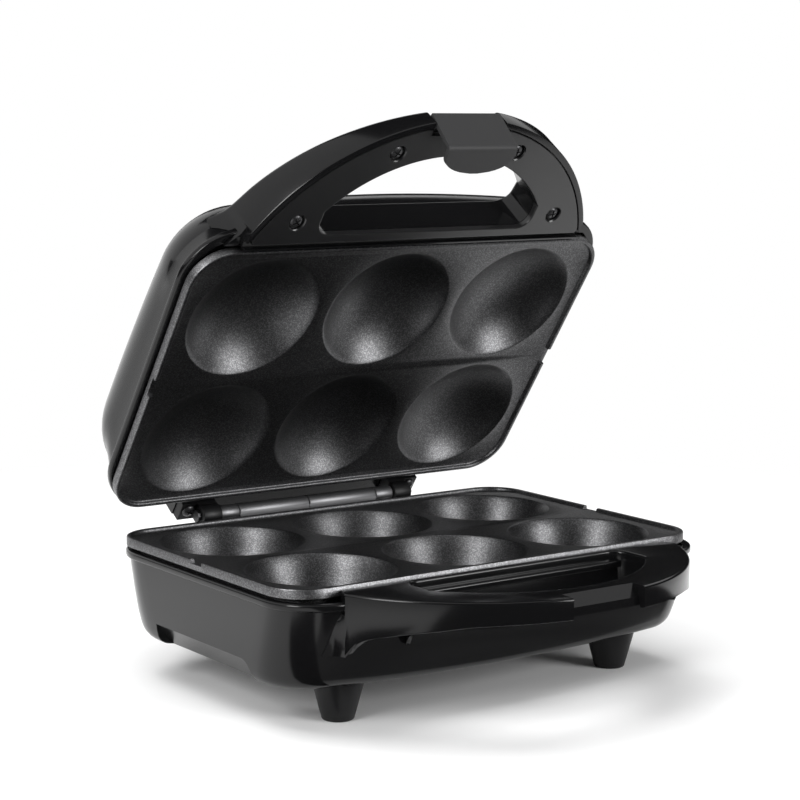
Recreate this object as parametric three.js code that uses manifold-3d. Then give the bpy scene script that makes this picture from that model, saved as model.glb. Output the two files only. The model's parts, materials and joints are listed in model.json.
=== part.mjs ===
// A countertop cupcake maker for six cakes, standing open: a deep lower plate in a base tub,
// a shallow upper plate in a hinged lid, half-round handles front and centre, and a sprung latch.
// Millimetres, X to the right, Y to the back, Z up. The lid is drawn shut and then turned open.
import * as THREE from "three";
import { mergeVertices } from "three/addons/utils/BufferGeometryUtils.js";
import Module from "manifold-3d";

const wasm = await Module();
wasm.setup();

// Fits and walls
const clearance = 0.3;
const wall = 2.5;
const overrun = 4;
const openAngle = THREE.MathUtils.degToRad(55.4);

// Cake cups: two rows of three, conical below and domed above
const cupColumns = 3;
const cupRows = 2;
const cupPitch = 75.5;
const cupRimRadius = 34;
const cupFloorRadius = 25;
const cupDepth = 29;
const cupFillet = 4;
const domeDepth = 16;
const castWall = 2.2;

// Cast plates
const plateSideMargin = 8.57;
const plateFrontMargin = 6.4;
const plateCorner = 19;
const slabThickness = 2.9;
const lipWidth = 2.6;
const lipHeight = 1.9;
const ventWidth = 10;
const flangeWidth = 2.6;
const flangeDepth = 3.5;
const bossRadius = 4.5;
const bossInset = 15;

// Heating elements and their sheet-steel reflectors
const elementRadius = 3.3;
const elementStand = 1.3;
const elementEndInset = 30;
const reflectorThickness = 0.8;
const reflectorStand = 2.4;
const reflectorRim = 2.4;
const reflectorSideMargin = 21;
const reflectorFrontMargin = 32;
const padRadius = 3;
const padInset = 12;

// Feet and their screws
const footHeight = 18;
const footTopRadius = 11.8;
const footTipRadius = 7.5;
const footEdge = 1.2;
const footSideInset = 38.4;
const rearFootSideInset = 58;
const footFrontInset = 20.5;
const footBore = 2.1;
const footSinkRadius = 4.2;
const footSinkDepth = 8;
const screwShankRadius = 1.8;
const screwHeadRadius = 3.4;
const screwHeadHeight = 1.6;
const footScrewGrip = 19.8;
const footBossRadius = 4.5;
const footBossHeight = 9;

// Housings
const shellSideGrowth = 0.4;
const shellFrontGrowth = 5.9;
const shellBackGrowth = 4.4;
const frontCorner = 25;
const backCorner = 30;
const rimGap = 1;
const beadHeight = 3.5;
const beadOut = 1.8;
const beadEdge = 0.6;
const baseTuck = 10.5;
const frontLean = 11.8;
const frontBow = 11.2;
const backCornerGrowth = 13;
const ledgeReach = 4.8;
const ledgeThickness = 3.5;
const lidRoom = 12.4;
const lidCrownX = 11.2;
const lidCrownY = 3.5;
const lidCrownBack = 40;
const lidEdgeRadius = 22.9;
const lidDraft = 0.3;
const lidFrontCorner = 33;
const lidBackCorner = 42;
const postRadius = 5;

// Finger scoops along both sides of the base
const scoopTopDepth = 1.5;
const scoopLowDepth = 10.2;
const scoopHeight = 10.7;
const scoopFront = -45;
const scoopBack = 37;
const scoopCorner = 8;

// Handles: half rings in plan with a hand opening
const handleRadius = 104;
const handleSetback = 39.4;
const handleDrop = 1.5;
const handleGap = 1;
const handleSkin = 3;
const lidRimStep = 2.5;
const lidRoofStart = 7;
const coverInset = 1.1;
const coverThickness = 2.8;
const coverBack = 0.9;
const rootFlare = 9;
const rootTipHalfWidth = 96.4;
const rootTipHeight = 4.8;
const handleBand = 26;
const openingSideInset = 16.5;
const openingRadius = handleRadius - handleBand;
const openingHalfWidth = openingRadius - openingSideInset;
const openingSetback = 31.4;
const openingCorner = openingRadius * 0.09;
const lidOpeningBack = 3.6;
const baseOpeningBack = 2.4;
const baseRootHeight = 27;
const baseTipHeight = 9.6;
const lidRootHeight = 25;
const lidTipHeight = 9.2;
const coverScrewAngles = [21.4, 55.8];
const coverScrewInsets = [8.7, 13.2];
const coverBossRadius = 4.4;
const coverSinkRadius = 4;
const coverSinkDepth = 1.9;
const coverScrewGrip = 6;

// Sprung latch on the front of the lid handle
const latchHalfWidth = 19.4;
const latchGap = 0.8;
const latchThickness = 2.2;
const latchHang = 20.4;
const latchLean = 4.2;
const latchTop = 6.4;
const hookReach = 15;
const hookThickness = 2;
const hookEdge = 6;
const barrelRadius = 2.6;
const barrelDrop = 2.2;
const barrelSetback = 4.8;
const springHalfWidth = 7;
const latchPinRadius = 1.1;
const pinClearance = 0.15;
const pinGrip = 3;
const springRadius = 1.8;
const notchDepth = 5.8;
const notchRamp = 4.4;
const notchRampDrop = 5.3;

// Hinge
const hingeSetback = 6.5;
const rodRadius = 2;
const sleeveRadius = 4;
const leafHalfWidth = 41.7;
const leafSeam = 0.2;
const leafThickness = 1.6;
const leafHeight = 17;
const leafScrewInset = 10;
const leafScrewDrop = 12.5;
const leafGrip = 8;
const collarWidth = 10.6;
const armBarrelRadius = 5.5;
const armBarrelWidth = 10.7;
const armWidth = 19.1;
const armDepth = 10.4;
const armPadThickness = 4.7;
const armScrewInset = 4.4;
const ledgeBlockHeight = 8.5;
const rodHeadRadius = 3;
const rodHeadLength = 1.5;
const hingePadHeight = 15;
const hingePadMargin = 4.3;

// Small inner parts
const thermostatRadius = 7.5;
const thermostatHeight = 8;
const thermostatCap = 3;
const fuseRadius = 2.2;
const fuseLength = 14;
const blockWidth = 28;
const blockDepth = 14;
const blockHeight = 11;
const blockRight = 30;
const blockBackInset = 18.2;
const glandRadius = 4.7;
const glandBore = 3.6;
const glandFlangeRadius = 8;
const glandFlangeThickness = 2;
const glandNeck = 9;
const glandRise = 16;
const glandRight = 84;
const glandPadRadius = 9.5;
const wireRadius = 1.2;
const baseWireRoutes = {
  supply_wire_live: [[82.2, 70.3, 35.2], [77, 67.5, 34.6], [66, 66, 33], [52, 63.5, 31], [45, 62.5, 30]],
  supply_wire_neutral: [[85.8, 70.6, 32.8], [79, 67.5, 30.5], [68, 65.5, 28], [58, 65, 27], [50, 61, 27], [45.2, 58.5, 27.2]],
  element_wire: [[15, 60, 28], [4, 64.5, 25.5], [-30, 66, 25], [-80, 66, 25], [-102, 58, 27], [-103, 42, 28.6], [-89, 37.75, 28.6]],
  thermostat_wire: [[-89, -37.75, 28.6], [-103, -34, 30], [-100, -16, 36], [-88, -2, 46], [-66, 0, 50], [-46.2, 0, 55]],
  link_wire: [[-29.3, 0, 55], [-18, 0, 50], [0, 0, 47], [18, 0, 50], [29.9, 0, 57]],
  fuse_wire: [[45.7, 0, 57], [60, 0, 50], [78, 0, 47], [94, 9, 43], [108, 22, 37], [109.5, 42, 32], [101, 58, 28], [86, 60, 25.5], [72, 52, 23.5], [57, 49.5, 23.2], [45.4, 54, 24]],
};
const lidWireRoutes = {
  upper_element_wire: [[-89, 37.75, 90], [-102, 41, 88.6], [-103, 56, 88], [-90, 66, 86], [-62, 70, 86]],
  lamp_wire: [[-89, -37.75, 90], [-102, -41, 88.6], [-100, -51, 88.3], [-86, -54, 94], [-58, -52, 103]],
};
const lampInset = 40;
const lensRadius = 4;
const lensFlangeRadius = 5.4;
const lensFlangeThickness = 1.2;
const lensRise = 1;
const lensSeatDrop = 2;
const lampBoxWidth = 40;
const lampSpacing = lampBoxWidth * 0.6;
const lampBoxDepth = 11;
const lampBoxHeight = 7;

// Facet counts
const cornerSteps = 4;
const edgeSteps = 3;
const cupSides = 20;
const roundSides = 16;
const smallSides = 10;
const tinySides = 8;
const arcSteps = 13;

// Plan sizes that follow from the cups
const plateHalfWidth = ((cupColumns - 1) / 2) * cupPitch + cupRimRadius + plateSideMargin;
const plateHalfDepth = ((cupRows - 1) / 2) * cupPitch + cupRimRadius + plateFrontMargin;
const shellPlan = {
  halfWidth: plateHalfWidth + shellSideGrowth,
  front: -plateHalfDepth - shellFrontGrowth,
  back: plateHalfDepth + shellBackGrowth,
  frontCorner,
  backCorner,
};
const platePlan = {
  halfWidth: plateHalfWidth,
  front: -plateHalfDepth,
  back: plateHalfDepth,
  frontCorner: plateCorner,
  backCorner: plateCorner,
};

// Heights of the base, stacked up from the floor
const floorTop = footHeight + wall;
const lowerReflectorBottom = floorTop + reflectorStand + clearance;
const lowerElementAxis = lowerReflectorBottom + reflectorThickness + elementStand + elementRadius;
const cupFloor = lowerElementAxis + elementRadius + clearance + castWall;
const plateFace = cupFloor + cupDepth;
const plateTop = plateFace + lipHeight;
const slabBottom = plateFace - slabThickness;
const rimTop = slabBottom - rimGap;
const wallTop = rimTop - beadHeight;
const ledgeTop = slabBottom - flangeDepth - clearance;

// Heights of the shut lid, stacked up from where the plates meet
const lidLip = plateTop + clearance;
const lidFace = lidLip + lipHeight;
const lidSlabTop = lidFace + slabThickness;
const lidRim = lidSlabTop + rimGap;
const domeTop = lidFace + domeDepth;
const upperElementAxis = domeTop + castWall + clearance + elementRadius;
const upperReflectorBottom = upperElementAxis + elementRadius + clearance;
const lidEdgeTop = upperReflectorBottom + reflectorThickness + screwHeadHeight + lidRoom + wall;
const lidWallTop = lidEdgeTop - lidEdgeRadius;

// Handles and hinge, placed from the housings
const handleCentre = shellPlan.front + handleSetback;
const openingCentre = shellPlan.front + openingSetback;
const handleTop = plateTop - handleDrop;
const coverBottom = lidLip - handleGap;
const hingeY = shellPlan.back + hingeSetback;
const hingeZ = plateTop + clearance;
const notchHalfWidth = latchHalfWidth + latchGap;
const latchFront = handleCentre - handleRadius - lidRimStep + latchGap;
const latchHingeY = latchFront + barrelSetback;
const latchHingeZ = coverBottom + latchTop - barrelDrop;

// Joining and cutting
const weld = (geometry) => {
  const bare = geometry.index ? geometry.toNonIndexed() : geometry.clone();
  bare.deleteAttribute("normal");
  bare.deleteAttribute("uv");
  const merged = mergeVertices(bare);
  const corners = merged.index.array;
  const faces = [];
  for (let i = 0; i < corners.length; i += 3) {
    const [a, b, c] = [corners[i], corners[i + 1], corners[i + 2]];
    if (a !== b && b !== c && c !== a) faces.push(a, b, c);
  }
  merged.setIndex(faces);
  return merged;
};
const solid = (geometry) => {
  const merged = weld(geometry);
  return new wasm.Manifold(new wasm.Mesh({
    numProp: 3,
    vertProperties: new Float32Array(merged.attributes.position.array),
    triVerts: new Uint32Array(merged.index.array),
  }));
};
const surface = (manifold) => {
  const mesh = manifold.getMesh();
  const geometry = new THREE.BufferGeometry();
  geometry.setAttribute("position", new THREE.BufferAttribute(mesh.vertProperties, 3));
  geometry.setIndex(new THREE.BufferAttribute(mesh.triVerts, 1));
  geometry.computeVertexNormals();
  return geometry;
};
const joined = (first, ...others) => others.reduce((sum, other) => sum.add(other), first);
const cut = (first, ...others) => others.reduce((sum, other) => sum.subtract(other), first);

// Basic bodies
const block = (xLow, xHigh, yLow, yHigh, zLow, zHigh) => {
  const geometry = new THREE.BoxGeometry(xHigh - xLow, yHigh - yLow, zHigh - zLow);
  geometry.translate((xLow + xHigh) / 2, (yLow + yHigh) / 2, (zLow + zHigh) / 2);
  return solid(geometry);
};
const turned = (profile, sides) => {
  const geometry = new THREE.LatheGeometry(profile.map(([r, z]) => new THREE.Vector2(r, z)), sides);
  geometry.rotateX(Math.PI / 2);
  return geometry;
};
const pillar = (x, y, zLow, zHigh, radius, sides) => {
  const geometry = turned([[0, zLow], [radius, zLow], [radius, zHigh], [0, zHigh]], sides);
  return solid(geometry.translate(x, y, 0));
};
const bar = (xLow, xHigh, y, z, radius, sides) => {
  const geometry = turned([[0, xLow], [radius, xLow], [radius, xHigh], [0, xHigh]], sides);
  return solid(geometry.rotateY(Math.PI / 2).translate(0, y, z));
};
const prism = (shape, zLow, zHigh) => {
  const options = { depth: zHigh - zLow, bevelEnabled: false, curveSegments: arcSteps };
  return solid(new THREE.ExtrudeGeometry(shape, options).translate(0, 0, zLow));
};
// A side view in Y and Z, drawn out along X
const alongX = new THREE.Matrix4().makeBasis(
  new THREE.Vector3(0, 1, 0), new THREE.Vector3(0, 0, 1), new THREE.Vector3(1, 0, 0));
const sideBody = (points, xLow, xHigh) => {
  const shape = new THREE.Shape(points.map(([y, z]) => new THREE.Vector2(y, z)));
  const options = { depth: xHigh - xLow, bevelEnabled: false };
  const geometry = new THREE.ExtrudeGeometry(shape, options).applyMatrix4(alongX);
  return solid(geometry.translate(xLow, 0, 0));
};

// One ring of points round a rounded plan, drawn in by inset, at a height that may vary
const ring = (plan, inset, height) => {
  const { halfWidth, front, back } = plan;
  const corners = [
    [halfWidth - inset, back - inset, plan.backCorner, 0],
    [-halfWidth + inset, back - inset, plan.backCorner, 1],
    [-halfWidth + inset, front + inset, plan.frontCorner, 2],
    [halfWidth - inset, front + inset, plan.frontCorner, 3],
  ];
  const turns = corners.map(([x, y, radius, quarter]) => {
    const r = Math.max(radius - inset, radius / cornerSteps);
    const centreX = x - Math.sign(x) * r;
    const centreY = y - Math.sign(y) * r;
    return Array.from({ length: cornerSteps + 1 }, (_, i) => {
      const angle = ((quarter + i / cornerSteps) * Math.PI) / 2;
      return new THREE.Vector2(centreX + r * Math.cos(angle), centreY + r * Math.sin(angle));
    });
  });
  const points = turns.flatMap((turn, k) => {
    const next = turns[(k + 1) % turns.length][0];
    const last = turn[turn.length - 1];
    const edge = Array.from({ length: edgeSteps - 1 }, (_, i) => last.clone().lerp(next, (i + 1) / edgeSteps));
    return [...turn, ...edge];
  });
  const heightAt = typeof height === "function" ? height : () => height;
  const bow = (p) => (p.y < 0 ? (plan.frontBow ?? 0) * (1 - (p.x / (halfWidth - inset)) ** 2) : 0);
  return points.map((p) => new THREE.Vector3(p.x, p.y - bow(p), heightAt(p.x, p.y)));
};
// A closed skin through rings of equal counts, with a fan over each end
const loft = (rings) => {
  const count = rings[0].length;
  const middle = (points) => points.reduce((sum, p) => sum.add(p), new THREE.Vector3()).divideScalar(count);
  const points = rings.flat();
  const startMiddle = points.length;
  points.push(middle(rings[0]), middle(rings[rings.length - 1]));
  const faces = [];
  for (let i = 0; i < count; i += 1) {
    const j = (i + 1) % count;
    for (let k = 0; k < rings.length - 1; k += 1) {
      const low = k * count;
      const high = low + count;
      faces.push(low + i, low + j, high + j, low + i, high + j, high + i);
    }
    const end = (rings.length - 1) * count;
    faces.push(startMiddle, j, i, startMiddle + 1, end + i, end + j);
  }
  const geometry = new THREE.BufferGeometry().setFromPoints(points);
  geometry.setIndex(faces);
  return solid(geometry);
};
const planPrism = (plan, inset, zLow, zHigh) => loft([ring(plan, inset, zLow), ring(plan, inset, zHigh)]);

// Finishes
const finish = (color, roughness, metalness) => new THREE.MeshStandardMaterial({ color, roughness, metalness });
const glossBlack = finish(0x101012, 0.18, 0);
const satinBlack = finish(0x1c1c1e, 0.45, 0);
const mattGrey = finish(0x3a3a3c, 0.7, 0);
const nonStick = finish(0x2a2a2c, 0.5, 0.3);
const rubber = finish(0x161616, 0.8, 0);
const steel = finish(0x9a9a9c, 0.35, 0.9);
const darkSteel = finish(0x4a4a4c, 0.45, 0.8);
const bareAluminium = finish(0xb8b8ba, 0.4, 0.9);
const elementSteel = finish(0x6b655c, 0.5, 0.8);
const ceramic = finish(0xe4e0d6, 0.6, 0);
const redLens = finish(0xb01c16, 0.2, 0);
const greenLens = finish(0x2c8a3c, 0.2, 0);
const wireCover = finish(0xd8d4c8, 0.7, 0);

// The three bodies: base, lid turned open about the hinge, and latch on the lid
const cupcakeMaker = new THREE.Group();
const base = new THREE.Group();
const lidHinge = new THREE.Group();
const lid = new THREE.Group();
const latch = new THREE.Group();
lidHinge.position.set(0, hingeY, hingeZ);
lidHinge.rotation.x = -openAngle;
lid.position.set(0, -hingeY, -hingeZ);
lidHinge.add(lid);
lid.add(latch);
cupcakeMaker.add(base, lidHinge);
const addPiece = (body, name, shape, material) => {
  const mesh = new THREE.Mesh(shape.isBufferGeometry ? shape : surface(shape), material);
  mesh.name = name;
  body.add(mesh);
};
const sides = [["left", -1], ["right", 1]];
const ends = [["front", -1], ["rear", 1]];
const cupCentres = [];
for (let column = 0; column < cupColumns; column += 1) {
  for (let row = 0; row < cupRows; row += 1) {
    cupCentres.push([(column - (cupColumns - 1) / 2) * cupPitch, (row - (cupRows - 1) / 2) * cupPitch]);
  }
}
const bossX = plateHalfWidth - bossInset;
// The rear feet stand further in than the front ones
const footPlaces = ends.flatMap(([end, back]) => sides.map(([side, right]) => ({
  name: `${end}_${side}`,
  x: right * (plateHalfWidth - (back > 0 ? rearFootSideInset : footSideInset)),
  y: back * (plateHalfDepth - footFrontInset),
})));

// A round-topped machine screw pointing along its own +Z, head below
const screwBody = (grip, headRadius, shankRadius, count) => turned([
  [0, -screwHeadHeight],
  [headRadius / 2, -screwHeadHeight],
  [headRadius, -screwHeadHeight / 2],
  [headRadius, 0],
  [shankRadius, 0],
  [shankRadius, grip],
  [0, grip],
], count);

// Hinge: two rolled steel leaves on the base, a rod through them, and two arms on the lid
const armInner = leafHalfWidth + collarWidth + clearance * 2;
const armOuter = armInner + armWidth;
const armScrewX = armOuter - armScrewInset;
const armSeat = lidRim + beadHeight + clearance;
const armFront = shellPlan.back + beadOut + clearance;
const armBack = armFront + armDepth;
const leafFront = hingeY - sleeveRadius;
const leafScrewPlaces = sides.flatMap(([side, right]) => [["inner", leafScrewInset], ["outer", leafHalfWidth - leafScrewInset]]
  .map(([place, x]) => ({ name: `${side}_${place}`, x: right * x })));
const leafScrewZ = hingeZ - leafScrewDrop;
const yScrew = (geometry, x, y, z) => geometry.rotateX(Math.PI / 2).translate(x, y, z);
const leafScrewHoles = () => leafScrewPlaces.map(({ x }) => solid(yScrew(
  turned([[0, -overrun], [screwShankRadius + clearance, -overrun], [screwShankRadius + clearance, leafGrip + clearance],
    [0, leafGrip + clearance]], tinySides),
  x, leafFront + leafThickness, leafScrewZ)));

// The posts that the base screws pass up through into the plate's bosses
const postSeat = floorTop + wall;
const postTop = (floorTop + slabBottom) / 2;
const reflectorPlan = {
  halfWidth: plateHalfWidth - reflectorSideMargin,
  front: -plateHalfDepth + reflectorFrontMargin,
  back: plateHalfDepth - reflectorFrontMargin,
  frontCorner: plateCorner / 2,
  backCorner: plateCorner / 2,
};

// Base housing: a tub with a bead round its rim and a ledge for the plate, tucked in at the floor,
// whose front bows forward and leans out, and whose back corners widen, towards the floor
const tuckShares = [[0, 1], [0.02, 0.6], [0.06, 0.34], [0.13, 0.18], [0.32, 0.07], [0.62, 0.02], [1, 0]];
const tubFloorShare = 0.8;
const wallHeight = wallTop - footHeight;
const tubRing = (rise, inset) => ring({
  ...shellPlan,
  front: shellPlan.front + frontLean * (1 - rise),
  backCorner: backCorner + backCornerGrowth * (1 - rise),
  frontBow: frontBow * (1 - rise ** 2),
}, inset, footHeight + rise * wallHeight);
const tubRingAt = (z, inset) => tubRing((z - footHeight) / wallHeight, inset);
const tubRings = (growth) => [
  ...tuckShares.map(([rise, tuck]) => tubRing(rise, tuck * baseTuck - growth)),
  ring(shellPlan, -beadOut - growth, wallTop + beadEdge),
  ring(shellPlan, -beadOut - growth, rimTop - beadEdge + growth),
  ring(shellPlan, -beadOut + beadEdge - growth, rimTop + growth),
];
const tubEnvelope = (() => {
  const rings = tubRings(clearance);
  rings[0].forEach((p) => { p.z -= clearance; });
  return loft(rings);
})();
const makeBaseShell = () => {
  const innerWall = tuckShares
    .filter(([rise]) => footHeight + rise * wallHeight > floorTop && rise < 1)
    .reverse()
    .map(([rise, tuck]) => tubRing(rise, tuck * baseTuck + wall));
  const tub = loft([
    ...tubRings(0),
    ring(shellPlan, wall, rimTop),
    ring(shellPlan, wall, ledgeTop),
    ring(shellPlan, wall + ledgeReach, ledgeTop),
    ring(shellPlan, wall + ledgeReach, ledgeTop - ledgeThickness),
    tubRingAt(ledgeTop - ledgeThickness * 2, wall + wall / 5),
    ...innerWall,
    tubRingAt(floorTop, tubFloorShare * baseTuck),
  ]);
  const hingePadBottom = ledgeTop - hingePadHeight;
  const hingePad = block(
    -leafHalfWidth - hingePadMargin, leafHalfWidth + hingePadMargin,
    shellPlan.back - wall, hingeY - sleeveRadius - clearance,
    hingePadBottom, rimTop - beadEdge);
  const glandPad = solid(turned([
    [0, -glandNeck], [glandPadRadius, -glandNeck], [glandPadRadius, 0], [0, 0],
  ], roundSides).rotateX(-Math.PI / 2).translate(glandRight, shellPlan.back, footHeight + glandRise));
  const glandHole = solid(turned([
    [0, -glandNeck - overrun], [glandRadius + clearance, -glandNeck - overrun],
    [glandRadius + clearance, overrun], [0, overrun],
  ], roundSides).rotateX(-Math.PI / 2).translate(glandRight, shellPlan.back, footHeight + glandRise));
  const footBosses = footPlaces.map(({ x, y }) =>
    pillar(x, y, footHeight + wall / 2, floorTop + footBossHeight, footBossRadius, smallSides));
  const posts = sides.map(([, right]) =>
    pillar(right * bossX, 0, footHeight + wall / 2, postTop, postRadius, smallSides));
  const pads = sides.flatMap(([, right]) => ends.map(([, back]) => pillar(
    right * (reflectorPlan.halfWidth - padInset), back * (reflectorPlan.back - padInset),
    footHeight + wall / 2, floorTop + reflectorStand, padRadius, smallSides)));
  const footHoles = footPlaces.map(({ x, y }) =>
    pillar(x, y, footHeight - overrun, floorTop + footBossHeight - wall / 2, footBore, smallSides));
  const postHoles = sides.flatMap(([, right]) => [
    pillar(right * bossX, 0, footHeight - overrun, postTop + overrun, footBore, smallSides),
    pillar(right * bossX, 0, footHeight - overrun, postSeat, footSinkRadius, smallSides),
  ]);
  const scoops = sides.map(([, right]) => makeScoop(right));
  const scoopBackings = sides.map(([, right]) => makeScoopBacking(right));
  const shell = joined(tub, hingePad, glandPad, ...scoopBackings, ...footBosses, ...posts, ...pads);
  return cut(shell, glandHole, ...footHoles, ...postHoles, ...scoops, ...leafScrewHoles());
};

// A scoop is a slanted recess in the lower side wall, rounded at its front, with the wall doubled behind it
const scoopBody = (right, low, high, outer, setIn, yLow, yHigh) => {
  const points = [
    [shellPlan.halfWidth - scoopLowDepth - setIn, low],
    [outer, low],
    [outer, high],
    [shellPlan.halfWidth - scoopTopDepth - setIn, high],
    [shellPlan.halfWidth - scoopLowDepth - setIn, footHeight],
  ];
  const shape = new THREE.Shape(points.map(([x, z]) => new THREE.Vector2(x, z)));
  const geometry = new THREE.ExtrudeGeometry(shape, { depth: yHigh - yLow, bevelEnabled: false });
  geometry.rotateX(Math.PI / 2).translate(0, yHigh, 0);
  return right > 0 ? solid(geometry) : solid(geometry).mirror([1, 0, 0]);
};
const makeScoop = (right) => {
  const top = footHeight + scoopHeight;
  const low = footHeight - overrun;
  const shape = new THREE.Shape();
  shape.moveTo(scoopFront, low);
  shape.lineTo(scoopBack, low);
  shape.lineTo(scoopBack, top);
  shape.lineTo(scoopFront + scoopCorner, top);
  shape.absarc(scoopFront + scoopCorner, top - scoopCorner, scoopCorner, Math.PI / 2, Math.PI, false);
  const reach = shellPlan.halfWidth + overrun;
  const options = { depth: reach * 2, bevelEnabled: false, curveSegments: cornerSteps };
  const sideView = solid(new THREE.ExtrudeGeometry(shape, options).applyMatrix4(alongX).translate(-reach, 0, 0));
  return scoopBody(right, low, top, reach, 0, scoopFront, scoopBack).intersect(sideView);
};
const makeScoopBacking = (right) => scoopBody(
  right, footHeight - overrun, footHeight + scoopHeight + wall, shellPlan.halfWidth, wall, scoopFront - wall, scoopBack + wall,
).intersect(loft(tubRings(-wall / 2).slice(0, tuckShares.length)));

// Cast plates: a slab with a lip, vent gaps at mid-side, a flange behind and bosses for the screws
const cupProfile = (grow, rim, top) => [
  [0, -cupDepth - grow],
  [cupFloorRadius - cupFillet + grow, -cupDepth - grow],
  [cupFloorRadius - cupFillet / 3 + grow, -cupDepth + cupFillet / 3 - grow],
  [cupFloorRadius + cupFillet / 5 + grow, -cupDepth + cupFillet],
  [cupRimRadius + grow, rim],
  [cupRimRadius + grow, top],
  [0, top],
];
const domeSteps = 3;
const domeProfile = (grow, bottom) => {
  const radius = (cupRimRadius ** 2 + domeDepth ** 2) / (2 * domeDepth);
  const spread = Math.asin(cupRimRadius / radius);
  const arc = Array.from({ length: domeSteps + 1 }, (_, i) => {
    const angle = (1 - i / domeSteps) * spread;
    return [(radius + grow) * Math.sin(angle), (radius + grow) * Math.cos(angle) - radius + domeDepth];
  });
  return [[0, bottom], [arc[0][0], bottom], ...arc];
};
const cups = (profile, face) => cupCentres.map(([x, y]) => solid(turned(profile, cupSides).translate(x, y, face)));
const makePlate = (face, outward, bosses) => {
  const span = (a, b) => [Math.min(face + outward * a, face + outward * b), Math.max(face + outward * a, face + outward * b)];
  const slab = planPrism(platePlan, 0, ...span(lipHeight, -slabThickness));
  const flangePlan = { ...platePlan, frontCorner, backCorner };
  const flange = cut(
    planPrism(flangePlan, flangeWidth, ...span(-slabThickness / 2, -slabThickness - flangeDepth)),
    planPrism(flangePlan, flangeWidth * 2, ...span(-slabThickness, -slabThickness - flangeDepth - overrun)));
  const recess = planPrism(platePlan, lipWidth, ...span(0, lipHeight + overrun));
  const vents = block(
    -plateHalfWidth - overrun, plateHalfWidth + overrun, -ventWidth / 2, ventWidth / 2,
    ...span(0, lipHeight + overrun));
  return cut(joined(slab, flange, ...bosses), recess, vents);
};
const makeLowerPlate = () => {
  const walls = cups(cupProfile(castWall, -slabThickness / 2, -slabThickness / 3), plateFace);
  const bosses = sides.map(([, right]) => cut(
    pillar(right * bossX, 0, postTop + clearance, plateFace - slabThickness / 2, bossRadius, smallSides),
    pillar(right * bossX, 0, postTop - overrun, slabBottom - clearance, screwShankRadius + clearance, smallSides)));
  return cut(makePlate(plateFace, 1, [...walls, ...bosses]), ...cups(cupProfile(0, 0, lipHeight), plateFace));
};
const upperBossTop = upperReflectorBottom - clearance;
const makeUpperPlate = () => {
  const walls = cups(domeProfile(castWall, slabThickness / 6), lidFace);
  const bosses = sides.map(([, right]) => cut(
    pillar(right * bossX, 0, lidFace + slabThickness / 2, upperBossTop, bossRadius, smallSides),
    pillar(right * bossX, 0, lidSlabTop, upperBossTop + overrun, screwShankRadius + clearance, smallSides)));
  return cut(makePlate(lidFace, -1, [...walls, ...bosses]), ...cups(domeProfile(0, -lipHeight), lidFace));
};

// A heating element: a steel tube bent into a long loop that runs over the middle of every cup
const elementSteps = 30;
const makeElement = (height) => {
  const bend = (cupPitch * (cupRows - 1)) / 2;
  const endX = -plateHalfWidth + elementEndInset;
  const bendX = bossX - bossRadius - elementRadius - clearance - wall / 2 - bend;
  const turnPoints = Array.from({ length: cornerSteps * 2 + 1 }, (_, i) => {
    const angle = -Math.PI / 2 + (i / (cornerSteps * 2)) * Math.PI;
    return new THREE.Vector3(bendX + bend * Math.cos(angle), bend * Math.sin(angle), height);
  });
  const run = (from, to) => [from, from.clone().lerp(to, 1 / 3), from.clone().lerp(to, 2 / 3)];
  const start = new THREE.Vector3(endX, -bend, height);
  const finishPoint = new THREE.Vector3(endX, bend, height);
  const path = new THREE.CatmullRomCurve3([
    ...run(start, turnPoints[0]),
    ...turnPoints,
    ...run(finishPoint, turnPoints[turnPoints.length - 1]).reverse(),
  ], false, "centripetal");
  const section = new THREE.Shape().absarc(0, 0, elementRadius, 0, Math.PI * 2, false);
  const options = { steps: elementSteps, extrudePath: path, curveSegments: tinySides / 2 - 1, bevelEnabled: false };
  return solid(new THREE.ExtrudeGeometry(section, options));
};

// A reflector: a sheet-steel tray with its rim turned towards the element
const makeReflector = (plan, bottom, rimUp, screwX) => {
  const top = bottom + reflectorThickness;
  const rimSpan = rimUp > 0 ? [bottom, top + reflectorRim] : [bottom - reflectorRim, top];
  const rim = cut(
    planPrism(plan, 0, ...rimSpan),
    planPrism(plan, reflectorThickness, rimSpan[0] - overrun, rimSpan[1] + overrun));
  const sheet = planPrism(plan, reflectorThickness / 2, bottom, top);
  const holes = screwX.map((x) =>
    pillar(x, 0, bottom - overrun, top + overrun, screwShankRadius + clearance, smallSides));
  return cut(joined(sheet, rim), ...holes);
};
const upperReflectorPlan = {
  halfWidth: bossX + bossRadius + reflectorThickness,
  front: reflectorPlan.front,
  back: reflectorPlan.back,
  frontCorner: reflectorPlan.frontCorner,
  backCorner: reflectorPlan.backCorner,
};

// Half-ring handles. The side profiles give each handle's outer face its height along its reach.
const handleReach = handleRadius - handleSetback;
const baseSagShares = [[0, 1], [0.06, 0.74], [0.15, 0.54], [0.27, 0.42], [0.38, 0.32], [0.54, 0.2], [0.7, 0.075], [0.86, 0.03], [1, 0]];
const lidRiseShares = [[0, 1], [0.09, 0.9], [0.17, 0.79], [0.31, 0.71], [0.45, 0.61], [0.66, 0.42], [0.83, 0.22], [1, 0]];
const handleShape = (radius, backY, rootHalfWidth) => {
  const rootX = Math.sqrt(radius ** 2 - (shellPlan.front - beadOut - handleCentre) ** 2);
  const angle = Math.asin(rootX / radius);
  const shape = new THREE.Shape();
  shape.moveTo(-rootHalfWidth, backY);
  shape.absarc(0, handleCentre, radius, -Math.PI / 2 - angle, -Math.PI / 2 + angle, false);
  shape.lineTo(rootHalfWidth, backY);
  shape.closePath();
  return shape;
};
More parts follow.
